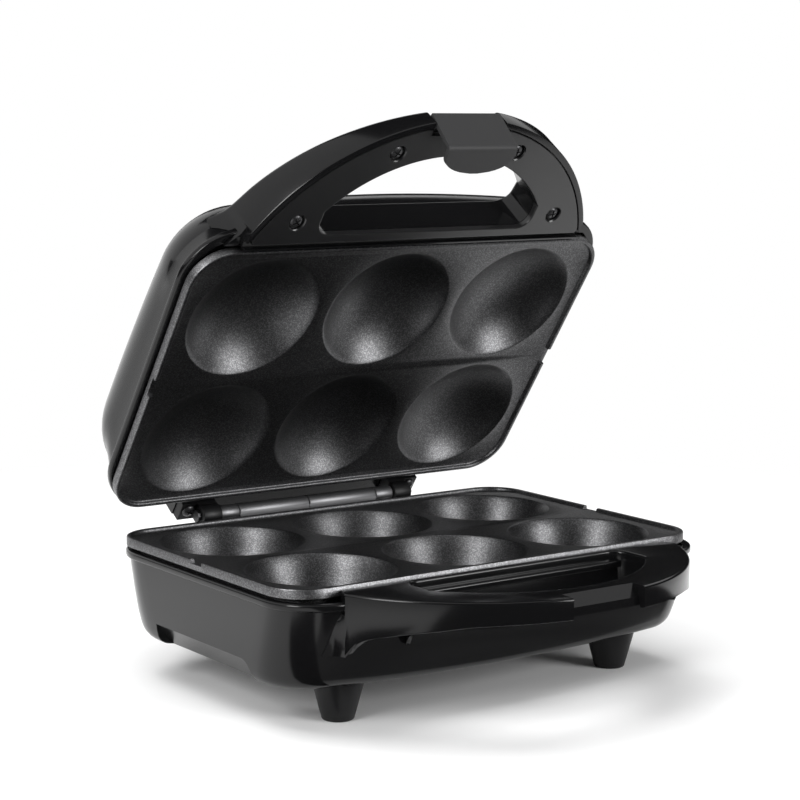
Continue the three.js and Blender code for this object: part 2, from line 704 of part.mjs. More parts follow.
const openingShape = (grow, backY) => {
  const halfWidth = openingHalfWidth + grow;
  const radius = openingRadius + grow;
  const corner = openingCorner;
  const angle = Math.asin(halfWidth / radius);
  const shape = new THREE.Shape();
  shape.moveTo(-halfWidth + corner, backY);
  shape.absarc(-halfWidth + corner, backY - corner, corner, Math.PI / 2, Math.PI, false);
  shape.absarc(0, openingCentre, radius, -Math.PI / 2 - angle, -Math.PI / 2 + angle, false);
  shape.absarc(halfWidth - corner, backY - corner, corner, 0, Math.PI / 2, false);
  shape.closePath();
  return shape;
};

// Base handle: open underneath, with the latch's ramp and catch at its front
const baseHandleBack = -plateHalfDepth - wall / 4;
const makeBaseHandle = () => {
  const sag = baseSagShares.map(([out, drop]) => [
    shellPlan.front - beadOut - out * (handleReach - beadOut),
    handleTop - baseTipHeight - drop * (baseRootHeight - baseTipHeight),
  ]);
  const lowest = handleTop - baseRootHeight;
  const profile = [
    [-plateHalfDepth, handleTop], [-plateHalfDepth, lowest], ...sag,
    [handleCentre - handleRadius - overrun, handleTop - baseTipHeight],
    [handleCentre - handleRadius - overrun, handleTop],
  ];
  const inner = profile.map(([y, z]) => [y, z === handleTop ? handleTop - handleSkin : z - overrun]);
  const rootX = Math.sqrt(handleRadius ** 2 - (shellPlan.front - beadOut - handleCentre) ** 2);
  const outline = prism(handleShape(handleRadius, baseHandleBack, rootX - wall), lowest - overrun, handleTop);
  const body = outline.intersect(sideBody(profile, -handleRadius, handleRadius));
  const openingBackY = shellPlan.front + baseOpeningBack;
  const opening = prism(openingShape(0, openingBackY), lowest - overrun, handleTop + overrun);
  const channel = cut(
    prism(handleShape(handleRadius - handleSkin, baseHandleBack - handleSkin, rootX - wall - handleSkin),
      lowest - overrun, handleTop - handleSkin).intersect(sideBody(inner, -handleRadius, handleRadius)),
    prism(openingShape(handleSkin, openingBackY + handleSkin), lowest - overrun * 2, handleTop + overrun),
    block(-notchHalfWidth - handleSkin, notchHalfWidth + handleSkin,
      -handleRadius * 2, handleCentre, lowest - overrun * 2, handleTop));
  const front = handleCentre - handleRadius;
  const strip = front + notchDepth;
  const notch = sideBody([
    [strip + notchRamp + overrun * notchRamp / notchRampDrop, handleTop + overrun],
    [strip, handleTop - notchRampDrop],
    [strip, handleTop - baseTipHeight - overrun],
    [front - overrun, handleTop - baseTipHeight - overrun],
    [front - overrun, handleTop + overrun],
  ], -notchHalfWidth, notchHalfWidth);
  return cut(body, opening, channel, notch, tubEnvelope);
};

// Where the lamps stand in the lid's roof
const lampPlaces = [-lampSpacing / 2, lampSpacing / 2];
const lampY = shellPlan.front + lampInset;

// Lid housing: a domed shell with the same bead and ledge, and a block at the back for the hinge arms
const roof = (drop) => (x, y) => {
  const aside = x / shellPlan.halfWidth;
  const along = (y - lidCrownBack) / (shellPlan.back - shellPlan.front);
  return lidEdgeTop + lidCrownX * (1 - aside ** 2) - lidCrownY * (2 * along) ** 2 - drop;
};
const roofInsetShares = [0.3, 0.62];
const lidArcSteps = 4;
const lidPlan = (share) => ({
  ...shellPlan,
  frontCorner: frontCorner + (lidFrontCorner - frontCorner) * share,
  backCorner: backCorner + (lidBackCorner - backCorner) * share,
});
const lidRings = (growth) => {
  const arc = Array.from({ length: lidArcSteps + 1 }, (_, i) => {
    const angle = (i / lidArcSteps) * (Math.PI / 2);
    const inset = lidDraft + lidEdgeRadius * (1 - Math.cos(angle)) - growth * Math.cos(angle);
    const drop = lidEdgeRadius * (1 - Math.sin(angle)) - growth * Math.sin(angle);
    return ring(lidPlan(1), inset, roof(drop));
  });
  const middle = arc[arc.length - 1];
  const inward = roofInsetShares.map((share) => middle.map((p) => {
    const x = p.x * (1 - share);
    const y = lidCrownBack + (p.y - lidCrownBack) * (1 - share);
    return new THREE.Vector3(x, y, roof(-growth)(x, y));
  }));
  return [
    ring(shellPlan, -beadOut + beadEdge - growth, lidRim - growth),
    ring(shellPlan, -beadOut - growth, lidRim + beadEdge - growth),
    ring(shellPlan, -beadOut - growth, lidRim + beadHeight - beadEdge),
    ring(shellPlan, -growth, lidRim + beadHeight),
    ...arc,
    ...inward,
  ];
};
const lidEnvelope = (() => {
  const rings = lidRings(clearance);
  return loft(rings);
})();
const lidLedge = lidSlabTop + flangeDepth + clearance;
const makeLidShell = () => {
  const inner = lidRings(-wall).slice(4);
  const skin = loft([
    ring(shellPlan, wall, lidRim),
    ...lidRings(0),
  ]);
  const hollow = loft([
    ring(shellPlan, wall, lidRim - overrun),
    ring(shellPlan, wall, lidLedge),
    ring(shellPlan, wall + ledgeReach, lidLedge),
    ring(shellPlan, wall + ledgeReach, lidLedge + ledgeThickness),
    ring(lidPlan(1 / 2), wall + wall / 5, lidLedge + ledgeThickness * 2),
    ...inner,
  ]);
  const armBlock = block(
    -armOuter - wall, armOuter + wall, shellPlan.back - lidDraft - wall, armBack + clearance,
    armSeat, armSeat + ledgeBlockHeight);
  const withinRoof = loft(lidRings(-wall / 2));
  const posts = sides.map(([, right]) => pillar(
    right * bossX, 0, upperReflectorBottom + reflectorThickness + screwHeadHeight + clearance * 2,
    lidEdgeTop + lidCrownX, postRadius, smallSides).intersect(withinRoof));
  const armHoles = sides.map(([, right]) => pillar(
    right * armScrewX, hingeY, armSeat - overrun, armSeat + ledgeBlockHeight - wall, screwShankRadius + clearance, smallSides));
  const lensHoles = lampPlaces.map((x) =>
    pillar(x, lampY, lidSlabTop + overrun, lidEdgeTop + lidCrownX + overrun, lensRadius + clearance, roundSides));
  return cut(joined(cut(skin, hollow), armBlock, ...posts), ...armHoles, ...lensHoles);
};

// Lid handle: an upside-down trough with the cover let into its underside
const lidOuterRadius = handleRadius + lidRimStep;
const coverRadius = handleRadius - coverInset;
const coverTop = coverBottom + coverThickness;
const coverBackY = shellPlan.front + coverBack;
const coverRootHalfWidth = Math.sqrt(coverRadius ** 2 - (coverBackY - handleCentre) ** 2) - beadOut;
const lidOpeningY = shellPlan.front - lidOpeningBack;
const coverScrewPlaces = sides.flatMap(([side, right]) => coverScrewAngles.map((degrees, i) => {
  const angle = THREE.MathUtils.degToRad(degrees);
  const reach = coverRadius - coverScrewInsets[i];
  return {
    name: `${side}_${i + 1}`,
    x: right * reach * Math.sin(angle),
    y: handleCentre - reach * Math.cos(angle),
  };
}));
const lidRoot = shellPlan.front - beadOut;
const lidTop = lidRiseShares.map(([out, rise]) => [
  lidRoot + lidRoofStart - out * (lidOuterRadius - handleSetback - beadOut + lidRoofStart),
  coverBottom + lidTipHeight + rise * (lidRootHeight - lidTipHeight),
]);
const makeLidHandle = () => {
  const tipY = handleCentre - lidOuterRadius - overrun;
  const backY = -plateHalfDepth - wall / 2;
  const profile = (skin, below) => [
    [backY + overrun, below], ...[[backY + overrun, lidTop[0][1] - skin]],
    ...lidTop.map(([y, z]) => [y, z - skin]),
    [tipY, coverBottom + lidTipHeight - skin], [tipY, below],
  ];
  const rootHalfWidth = Math.sqrt(handleRadius ** 2 - (lidRoot - handleCentre) ** 2) + rootFlare;
  const outline = prism(handleShape(lidOuterRadius, backY, rootHalfWidth), coverBottom, lidEdgeTop);
  const body = outline.intersect(sideBody(profile(0, coverBottom), -rootHalfWidth * 2, rootHalfWidth * 2));
  const opening = prism(openingShape(0, lidOpeningY), coverBottom - overrun, lidEdgeTop + overrun);
  const openingWall = prism(openingShape(handleSkin, lidOpeningY + handleSkin), coverBottom - overrun, lidEdgeTop);
  const seat = prism(handleShape(coverRadius + clearance, coverBackY + clearance, coverRootHalfWidth + clearance),
    coverBottom - overrun, coverTop + clearance);
  const latchBay = block(
    -notchHalfWidth - handleSkin, notchHalfWidth + handleSkin, -handleRadius * 2, handleCentre,
    coverBottom - overrun, lidEdgeTop);
  const screwBosses = coverScrewPlaces.map(({ x, y }) =>
    pillar(x, y, coverTop + clearance, lidEdgeTop, coverBossRadius, smallSides));
  const trough = cut(
    prism(handleShape(coverRadius - handleSkin / 2, coverBackY - handleSkin, coverRootHalfWidth - handleSkin),
      coverBottom, lidEdgeTop).intersect(sideBody(profile(handleSkin, coverBottom), -rootHalfWidth, rootHalfWidth)),
    openingWall, latchBay, ...screwBosses);
  const bay = block(
    -notchHalfWidth, notchHalfWidth, latchFront - overrun * 2, latchHingeY + barrelRadius + latchGap,
    coverBottom - overrun, lidEdgeTop);
  const pinHole = bar(
    -notchHalfWidth - pinGrip - clearance, notchHalfWidth + pinGrip + clearance,
    latchHingeY, latchHingeZ, latchPinRadius + pinClearance, smallSides);
  const screwHoles = coverScrewPlaces.map(({ x, y }) =>
    pillar(x, y, coverBottom, coverTop + coverScrewGrip, screwShankRadius + clearance, tinySides));
  // The flare at each root stops above the bead, so only a narrow tip reaches down
  const flareCuts = [[-rootHalfWidth * 2, -rootTipHalfWidth], [rootTipHalfWidth, rootHalfWidth * 2]].map(([left, right]) =>
    block(left, right, -handleRadius, backY + overrun, coverBottom - overrun, coverBottom + rootTipHeight));
  return cut(body, opening, seat, trough, bay, pinHole, lidEnvelope, ...flareCuts, ...screwHoles);
};
const makeHandleCover = () => {
  const outline = prism(handleShape(coverRadius, coverBackY, coverRootHalfWidth), coverBottom, coverTop);
  const opening = prism(openingShape(0, lidOpeningY), coverBottom - overrun, coverTop + overrun);
  const bay = block(
    -notchHalfWidth, notchHalfWidth, -handleRadius * 2, latchHingeY + barrelRadius + latchGap,
    coverBottom - overrun, coverTop + overrun);
  const holes = coverScrewPlaces.flatMap(({ x, y }) => [
    pillar(x, y, coverBottom - overrun, coverTop + overrun, screwShankRadius + clearance, smallSides),
    pillar(x, y, coverBottom - overrun, coverBottom + coverSinkDepth, coverSinkRadius, smallSides),
  ]);
  return cut(outline, opening, bay, ...holes);
};

// Latch: a leaning front plate on two barrels, with a half-round hook that reaches under the base handle
const makeLatchClip = () => {
  const top = coverBottom + latchTop;
  const low = top - latchHang;
  const lean = latchLean / latchHang;
  const plate = sideBody([
    [latchFront, top],
    [latchFront + latchThickness, top],
    [latchFront + latchLean + latchThickness, low],
    [latchFront + latchLean, low],
  ], -latchHalfWidth, latchHalfWidth);
  const hookFront = latchFront + latchLean - lean * hookThickness;
  const shape = new THREE.Shape();
  shape.moveTo(-latchHalfWidth, hookFront);
  shape.lineTo(latchHalfWidth, hookFront);
  shape.lineTo(latchHalfWidth, hookFront + hookEdge);
  shape.absellipse(0, hookFront + hookEdge, latchHalfWidth, hookReach - hookEdge, 0, Math.PI, false, 0);
  const hook = prism(shape, low, low + hookThickness);
  const barrels = sides.map(([, right]) => bar(
    Math.min(right * springHalfWidth, right * latchHalfWidth),
    Math.max(right * springHalfWidth, right * latchHalfWidth),
    latchHingeY, latchHingeZ, barrelRadius, smallSides));
  const bore = bar(-latchHalfWidth - overrun, latchHalfWidth + overrun, latchHingeY, latchHingeZ,
    latchPinRadius + pinClearance, smallSides);
  return cut(joined(plate, hook, ...barrels), bore);
};

// Hinge pieces
const makeLeaf = (right) => {
  const [low, high] = right > 0 ? [leafSeam, leafHalfWidth] : [-leafHalfWidth, -leafSeam];
  const barrel = bar(low, high, hingeY, hingeZ, sleeveRadius, roundSides);
  const flap = block(low, high, leafFront, leafFront + leafThickness, hingeZ - leafHeight, hingeZ);
  const bore = bar(low - overrun, high + overrun, hingeY, hingeZ, rodRadius + pinClearance, smallSides);
  const holes = leafScrewPlaces.filter(({ x }) => Math.sign(x) === right).map(({ x }) => solid(yScrew(
    turned([[0, -overrun], [screwShankRadius + clearance, -overrun], [screwShankRadius + clearance, overrun],
      [0, overrun]], tinySides), x, leafFront + leafThickness, leafScrewZ)));
  return cut(joined(barrel, flap), bore, ...holes);
};
const makeArm = (right) => {
  const span = (a, b) => (right > 0 ? [a, b] : [-b, -a]);
  const barrel = bar(...span(armInner, armInner + armBarrelWidth), hingeY, hingeZ, armBarrelRadius, roundSides);
  const web = block(...span(armInner, armInner + armBarrelWidth), armFront, armBack - armDepth / 8,
    hingeZ, armSeat - clearance);
  const pad = block(...span(armInner, armOuter), armFront, armBack, armSeat - clearance - armPadThickness, armSeat - clearance);
  const bore = bar(...span(armInner - overrun, armOuter), hingeY, hingeZ, rodRadius + pinClearance, smallSides);
  const hole = pillar(right * armScrewX, hingeY, armSeat - armPadThickness * 2, armSeat, screwShankRadius + clearance, smallSides);
  return cut(joined(barrel, web, pad), bore, hole);
};
const sleeve = (low, high) => solid(turned([
  [rodRadius + pinClearance, low], [sleeveRadius, low], [sleeveRadius, high], [rodRadius + pinClearance, high],
  [rodRadius + pinClearance, low],
], roundSides).rotateY(Math.PI / 2).translate(0, hingeY, hingeZ));

const makeLens = (x) => {
  const shellTop = roof(0)(x, lampY);
  const under = roof(wall)(x, lampY) - lensSeatDrop;
  return turned([
    [0, under - lensFlangeThickness], [lensFlangeRadius, under - lensFlangeThickness],
    [lensFlangeRadius, under - clearance], [lensRadius, under - clearance],
    [lensRadius, shellTop], [lensRadius * Math.SQRT1_2, shellTop + lensRise * Math.SQRT1_2],
    [0, shellTop + lensRise],
  ], roundSides).translate(x, lampY, 0);
};
const lampBoxTop = roof(wall)(lampSpacing / 2, lampY) - lensSeatDrop - lensFlangeThickness - clearance;

// Inner wires, each along its own route between the parts that it joins
const wireSteps = 10;
const makeWire = (points) => {
  const path = new THREE.CatmullRomCurve3(points.map(([x, y, z]) => new THREE.Vector3(x, y, z)));
  const section = new THREE.Shape().absarc(0, 0, wireRadius, 0, Math.PI * 2, false);
  const options = { steps: wireSteps, extrudePath: path, curveSegments: tinySides / 2 - 1, bevelEnabled: false };
  return solid(new THREE.ExtrudeGeometry(section, options));
};

// Put together: base
const elementEndX = -plateHalfWidth + elementEndInset;
addPiece(base, "base_shell", makeBaseShell(), glossBlack);
addPiece(base, "base_handle", makeBaseHandle(), glossBlack);
addPiece(base, "lower_plate", makeLowerPlate(), nonStick);
addPiece(base, "lower_element", makeElement(lowerElementAxis), elementSteel);
addPiece(base, "lower_reflector", makeReflector(reflectorPlan, lowerReflectorBottom, 1, []), bareAluminium);
addPiece(base, "thermostat", turned([
  [0, slabBottom - clearance - thermostatHeight],
  [thermostatRadius, slabBottom - clearance - thermostatHeight],
  [thermostatRadius, slabBottom - clearance - thermostatCap],
  [thermostatRadius * 3 / 4, slabBottom - clearance - thermostatCap],
  [thermostatRadius * 3 / 4, slabBottom - clearance],
  [0, slabBottom - clearance],
], roundSides).translate(-cupPitch / 2, 0, 0), ceramic);
addPiece(base, "thermal_fuse", bar(
  cupPitch / 2 - fuseLength / 2, cupPitch / 2 + fuseLength / 2, 0,
  slabBottom - clearance - fuseRadius, fuseRadius, smallSides), steel);
const blockBack = shellPlan.back - blockBackInset;
addPiece(base, "terminal_block", cut(
  block(blockRight - blockWidth / 2, blockRight + blockWidth / 2, blockBack - blockDepth, blockBack,
    floorTop + clearance, floorTop + clearance + blockHeight),
  ...[-1, 0, 1].map((i) => pillar(
    blockRight + i * blockWidth / 3.5, blockBack - blockDepth / 2,
    floorTop + blockHeight / 2, floorTop + blockHeight + overrun, blockWidth / 12, tinySides)),
), ceramic);
addPiece(base, "cord_gland", turned([
  [glandBore, -glandNeck - wall], [glandRadius, -glandNeck - wall], [glandRadius, clearance],
  [glandFlangeRadius, clearance], [glandFlangeRadius, clearance + glandFlangeThickness / 2],
  [glandFlangeRadius - glandFlangeThickness / 2, clearance + glandFlangeThickness],
  [glandBore, clearance + glandFlangeThickness], [glandBore, -glandNeck - wall],
], roundSides).rotateX(-Math.PI / 2).translate(glandRight, shellPlan.back, footHeight + glandRise), rubber);
for (const { name, x, y } of footPlaces) {
  const foot = cut(
    solid(turned([
      [0, 0], [footTipRadius - footEdge, 0], [footTipRadius, footEdge],
      [footTopRadius, footHeight + footEdge * 2], [0, footHeight + footEdge * 2],
    ], roundSides).translate(x, y, 0)),
    tubEnvelope,
    pillar(x, y, -overrun, footSinkDepth, footSinkRadius, smallSides),
    pillar(x, y, 0, footHeight + overrun, footBore, smallSides));
  addPiece(base, `foot_${name}`, foot, satinBlack);
  const screw = screwBody(footScrewGrip, screwHeadRadius, screwShankRadius, tinySides);
  addPiece(base, `foot_screw_${name}`, screw.translate(x, y, footSinkDepth - clearance), darkSteel);
}
for (const [side, right] of sides) {
  const grip = (slabBottom + postTop) / 2 - postSeat;
  const screw = screwBody(grip, screwHeadRadius, screwShankRadius, tinySides);
  addPiece(base, `base_screw_${side}`, screw.translate(right * bossX, 0, postSeat - clearance), darkSteel);
  addPiece(base, `hinge_leaf_${side}`, makeLeaf(right), steel);
}
for (const { name, x } of leafScrewPlaces) {
  const screw = screwBody(leafGrip, screwHeadRadius, screwShankRadius, tinySides);
  addPiece(base, `hinge_screw_${name}`, yScrew(screw, x, leafFront + leafThickness + clearance, leafScrewZ), darkSteel);
}
const rodEnd = armInner + armBarrelWidth + clearance;
addPiece(base, "hinge_rod", joined(
  bar(-rodEnd - clearance, rodEnd + clearance, hingeY, hingeZ, rodRadius, smallSides),
  ...sides.map(([, right]) => bar(
    Math.min(right * rodEnd, right * (rodEnd + rodHeadLength)), Math.max(right * rodEnd, right * (rodEnd + rodHeadLength)),
    hingeY, hingeZ, rodHeadRadius, smallSides)),
), steel);

for (const [name, route] of Object.entries(baseWireRoutes)) addPiece(base, name, makeWire(route), wireCover);

// Put together: lid
addPiece(lid, "lid_shell", makeLidShell(), glossBlack);
addPiece(lid, "lid_handle", makeLidHandle(), glossBlack);
addPiece(lid, "handle_cover", makeHandleCover(), mattGrey);
addPiece(lid, "upper_plate", makeUpperPlate(), nonStick);
addPiece(lid, "upper_element", makeElement(upperElementAxis), elementSteel);
addPiece(lid, "upper_reflector",
  makeReflector(upperReflectorPlan, upperReflectorBottom, -1, [-bossX, bossX]), bareAluminium);
for (const { name, x, y } of coverScrewPlaces) {
  const screw = screwBody(coverScrewGrip, screwHeadRadius, screwShankRadius, tinySides);
  addPiece(lid, `cover_screw_${name}`, screw.translate(x, y, coverBottom + coverSinkDepth - clearance), darkSteel);
}
for (const [side, right] of sides) {
  addPiece(lid, `hinge_arm_${side}`, makeArm(right), satinBlack);
  const armScrew = screwBody(armPadThickness + wall, screwHeadRadius, screwShankRadius, tinySides);
  addPiece(lid, `arm_screw_${side}`,
    armScrew.translate(right * armScrewX, hingeY, armSeat - clearance * 2 - armPadThickness), darkSteel);
  const low = right > 0 ? leafHalfWidth + clearance : -leafHalfWidth - clearance - collarWidth;
  addPiece(lid, `hinge_collar_${side}`, sleeve(low, low + collarWidth), steel);
  const plateScrew = screwBody(wall * 4, screwHeadRadius, screwShankRadius, tinySides).rotateX(Math.PI);
  addPiece(lid, `plate_screw_${side}`,
    plateScrew.translate(right * bossX, 0, upperReflectorBottom + reflectorThickness + clearance), darkSteel);
}
[["power_lens", redLens], ["ready_lens", greenLens]].forEach(([name, material], i) =>
  addPiece(lid, name, makeLens(lampPlaces[i]), material));
addPiece(lid, "lamp_holder", block(
  -lampBoxWidth / 2, lampBoxWidth / 2, lampY - lampBoxDepth / 2, lampY + lampBoxDepth / 2,
  lampBoxTop - lampBoxHeight, lampBoxTop), ceramic);

const lampWireEnd = [-lampBoxWidth / 2 - clearance * 2, lampY - lampBoxDepth / 3, lampBoxTop - lampBoxHeight / 2];
const lidWireEnds = { lamp_wire: [lampWireEnd] };
for (const [name, route] of Object.entries(lidWireRoutes)) {
  addPiece(lid, name, makeWire([...route, ...(lidWireEnds[name] ?? [])]), wireCover);
}

// Put together: latch
addPiece(latch, "latch_clip", makeLatchClip(), mattGrey);
addPiece(lid, "latch_pin", bar(
  -notchHalfWidth - pinGrip, notchHalfWidth + pinGrip, latchHingeY, latchHingeZ, latchPinRadius, smallSides), steel);
addPiece(lid, "latch_spring", turned([
  [latchPinRadius + pinClearance, -springHalfWidth + clearance], [springRadius, -springHalfWidth + clearance],
  [springRadius, springHalfWidth - clearance], [latchPinRadius + pinClearance, springHalfWidth - clearance],
  [latchPinRadius + pinClearance, -springHalfWidth + clearance],
], roundSides).rotateY(Math.PI / 2).translate(0, latchHingeY, latchHingeZ), steel);

// The origin is the middle of the footprint of the whole, on the floor
const whole = new THREE.Box3().setFromObject(cupcakeMaker, true);
const middle = whole.getCenter(new THREE.Vector3());
cupcakeMaker.position.set(-middle.x, -middle.y, -whole.min.z);
cupcakeMaker.updateMatrixWorld(true);

export default cupcakeMaker;
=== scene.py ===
# A black countertop cupcake maker, standing open: six deep cups below, six domes above, half-round
# handles and a sprung latch. Each piece is drawn in millimetres round the middle of the lower plate,
# the lid's pieces with the lid shut, and then put in its place in the frame.
import json
from math import asin, cos, pi, radians, sin, sqrt

import bmesh
import bpy
from mathutils import Matrix, Vector
from mathutils.geometry import tessellate_polygon


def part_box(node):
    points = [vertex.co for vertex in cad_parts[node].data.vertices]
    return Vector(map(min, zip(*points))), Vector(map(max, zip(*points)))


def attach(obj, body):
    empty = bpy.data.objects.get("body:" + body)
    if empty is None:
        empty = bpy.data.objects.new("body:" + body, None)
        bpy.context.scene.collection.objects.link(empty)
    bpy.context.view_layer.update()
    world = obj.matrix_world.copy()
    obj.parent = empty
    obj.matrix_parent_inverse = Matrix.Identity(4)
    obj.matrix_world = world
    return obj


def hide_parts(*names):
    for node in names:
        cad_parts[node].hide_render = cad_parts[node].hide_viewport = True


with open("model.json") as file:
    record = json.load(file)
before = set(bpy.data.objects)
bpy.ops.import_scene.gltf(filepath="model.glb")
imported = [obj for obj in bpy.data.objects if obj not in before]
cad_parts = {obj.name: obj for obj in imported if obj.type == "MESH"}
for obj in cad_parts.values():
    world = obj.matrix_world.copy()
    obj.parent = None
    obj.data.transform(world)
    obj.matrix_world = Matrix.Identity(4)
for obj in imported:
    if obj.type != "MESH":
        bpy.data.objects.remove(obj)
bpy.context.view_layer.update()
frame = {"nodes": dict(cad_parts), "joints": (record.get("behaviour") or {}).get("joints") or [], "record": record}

# The camera stands at the front left, a little above the worktop, and looks at the middle of the open
# maker. It was solved from the rims of the twelve cups and domes, the plates' edges and the handles.
MM = 0.001
plate_low, plate_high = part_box("lower_plate")
plate_middle = Vector((0, (plate_low.y + plate_high.y) / 2, 0))
camera_turn = radians(-35.997)
camera_rise = radians(7.916)
camera_roll = radians(0.426)
camera_reach = 1.0196
camera_target = plate_middle + Vector((-0.005116, 0, 0.12982))
level_right = Vector((cos(camera_turn), sin(camera_turn), 0))
level_back = Vector((sin(camera_turn), -cos(camera_turn), 0))
camera_back = level_back * cos(camera_rise) + Vector((0, 0, sin(camera_rise)))
level_up = camera_back.cross(level_right)
camera_right = level_right * cos(camera_roll) + level_up * sin(camera_roll)
camera_up = level_up * cos(camera_roll) - level_right * sin(camera_roll)


def placed(name, data):
    """A new object of the scene with that name and data."""
    made = bpy.data.objects.new(name, data)
    bpy.context.scene.collection.objects.link(made)
    return made


camera_data = bpy.data.cameras.new("camera")
camera_data.sensor_width = 36
camera_data.lens = 96.4
camera = placed("camera", camera_data)
camera.matrix_world = Matrix.Translation(camera_target + camera_back * camera_reach) @ Matrix((
    camera_right, camera_up, camera_back)).transposed().to_4x4()
bpy.context.scene.camera = camera
bpy.context.scene.view_settings.view_transform = "Standard"


# The studio is a pale floor under a white backdrop, with soft boxes overhead, at the left and at the
# front right. The floor is plain paint where the shadow falls, and fades to the backdrop.
def node_maker(tree):
    """A function that adds a node to a tree. Each of its inputs gets a value, or a link from a socket."""
    def add(kind, inputs=None, **settings):
        node = tree.nodes.new(kind)
        for key, value in settings.items():
            setattr(node, key, value)
        for key, value in (inputs or {}).items():
            if isinstance(value, bpy.types.NodeSocket):
                tree.links.new(value, node.inputs[key])
            else:
                node.inputs[key].default_value = value
        return node

    return add


def new_material(name):
    """An empty material, with a function that adds a node to it."""
    material = bpy.data.materials.new(name)
    material.use_nodes = True
    material.node_tree.nodes.clear()
    return material, node_maker(material.node_tree)


def background_rays(add):
    """A value of 1 on the rays that see the backdrop: the camera's, and those off gloss and through glass."""
    light_path = add("ShaderNodeLightPath")
    seen = light_path.outputs["Is Camera Ray"]
    for name in ("Is Glossy Ray", "Is Transmission Ray"):
        seen = add("ShaderNodeMath", {0: seen, 1: light_path.outputs[name]}, operation="MAXIMUM").outputs[0]
    return seen


room_light = 0.3
white = (1, 1, 1, 1)
world = bpy.data.worlds.new("studio")
bpy.context.scene.world = world
world.use_nodes = True
world.node_tree.nodes.clear()
add = node_maker(world.node_tree)
backdrop = add("ShaderNodeBackground", {"Color": white})
room = add("ShaderNodeBackground", {"Color": white, "Strength": room_light})
sky = add("ShaderNodeMixShader", {"Fac": background_rays(add), 1: room.outputs[0], 2: backdrop.outputs[0]})
add("ShaderNodeOutputWorld", {"Surface": sky.outputs[0]})

floor_reach = 4.0
floor_tone = 0.93
floor_speckle = 0.02
floor_grain = 40
shadow_reach = 0.28
fade_reach = 0.62
floor_material, add = new_material("floor_paint")
floor_place = add("ShaderNodeTexCoord").outputs["Object"]
floor_distance = add("ShaderNodeVectorMath", {0: floor_place}, operation="LENGTH").outputs["Value"]
floor_fade = add("ShaderNodeMapRange", {
    "Value": floor_distance, "From Min": shadow_reach, "From Max": fade_reach}).outputs["Result"]
speckle = add("ShaderNodeTexNoise", {"Vector": floor_place, "Scale": floor_grain}).outputs["Fac"]
floor_tint = add("ShaderNodeMapRange", {
    "Value": speckle, "To Min": floor_tone, "To Max": floor_tone + floor_speckle})
floor_paint = add("ShaderNodeBsdfDiffuse", {"Color": floor_tint.outputs["Result"]})
floor_white = add("ShaderNodeEmission")
floor_seen = add("ShaderNodeMath", {0: floor_fade, 1: background_rays(add)}, operation="MULTIPLY")
floor_mix = add("ShaderNodeMixShader", {
    "Fac": floor_seen.outputs[0], 1: floor_paint.outputs[0], 2: floor_white.outputs[0]})
add("ShaderNodeOutputMaterial", {"Surface": floor_mix.outputs[0]})
floor_mesh = bpy.data.meshes.new("floor")
floor_corners = [(x * floor_reach, y * floor_reach, 0) for x, y in ((-1, -1), (1, -1), (1, 1), (-1, 1))]
floor_mesh.from_pydata(floor_corners, [], [(0, 1, 2, 3)])
floor_mesh.materials.append(floor_material)
placed("floor", floor_mesh)


def soft_box(name, place, aim, width, height, power, mirrored=True):
    """A soft box of that size in metres at a place, facing the point that it is aimed at."""
    lamp_data = bpy.data.lights.new(name, "AREA")
    lamp_data.shape = "RECTANGLE"
    lamp_data.size = width
    lamp_data.size_y = height
    lamp_data.energy = power
    lamp = placed(name, lamp_data)
    lamp.location = place
    lamp.rotation_euler = (aim - Vector(place)).to_track_quat("-Z", "Y").to_euler()
    lamp.visible_camera = False
    lamp.visible_glossy = mirrored


middle_of_maker = Vector((0, 0, 0.1))


def around(turn, rise, reach):
    """A place at a turn from the back towards the right, in degrees, a rise and a reach from the maker."""
    turn, rise = radians(turn), radians(rise)
    return middle_of_maker + reach * Vector((cos(rise) * sin(turn), cos(rise) * cos(turn), sin(rise)))


def spread(start, stop, count):
    """Evenly spaced numbers from start to stop, with that count of steps between them."""
    return [start + (stop - start) * i / count for i in range(count + 1)]


soft_box("overhead_box", (-0.1, 0.42, 1.4), middle_of_maker, 1.6, 1.6, 27, mirrored=False)
soft_box("front_box", around(154, 12, 1.6), middle_of_maker, 0.78, 0.75, 18)
soft_box("left_box", around(-106, 26, 1.5), middle_of_maker, 0.5, 0.8, 13)

# Black flags stand round the front and the back right, so that the gloss stays dark between the boxes.
# Black cloths lie in front and off the left corner, with a grey one close in front, and one hangs over
# the right. Only reflections see them. The left of the back is open to the white backdrop.
def cloth_finish(name, low, high):
    """Matt cloth with a fine weave, between two tones."""
    material, add = new_material(name)
    place = add("ShaderNodeTexCoord").outputs["Object"]
    weave = add("ShaderNodeTexNoise", {"Vector": place, "Scale": 200}).outputs["Fac"]
    tint = add("ShaderNodeMapRange", {"Value": weave, "To Min": low, "To Max": high})
    paint = add("ShaderNodeBsdfDiffuse", {"Color": tint.outputs["Result"]})
    add("ShaderNodeOutputMaterial", {"Surface": paint.outputs[0]})
    return material


def hang(name, points, faces, material):
    """A piece of cloth that only reflections see."""
    mesh = bpy.data.meshes.new(name)
    mesh.from_pydata(points, [], faces)
    mesh.materials.append(material)
    cloth = placed(name, mesh)
    cloth.visible_camera = cloth.visible_diffuse = cloth.visible_shadow = False


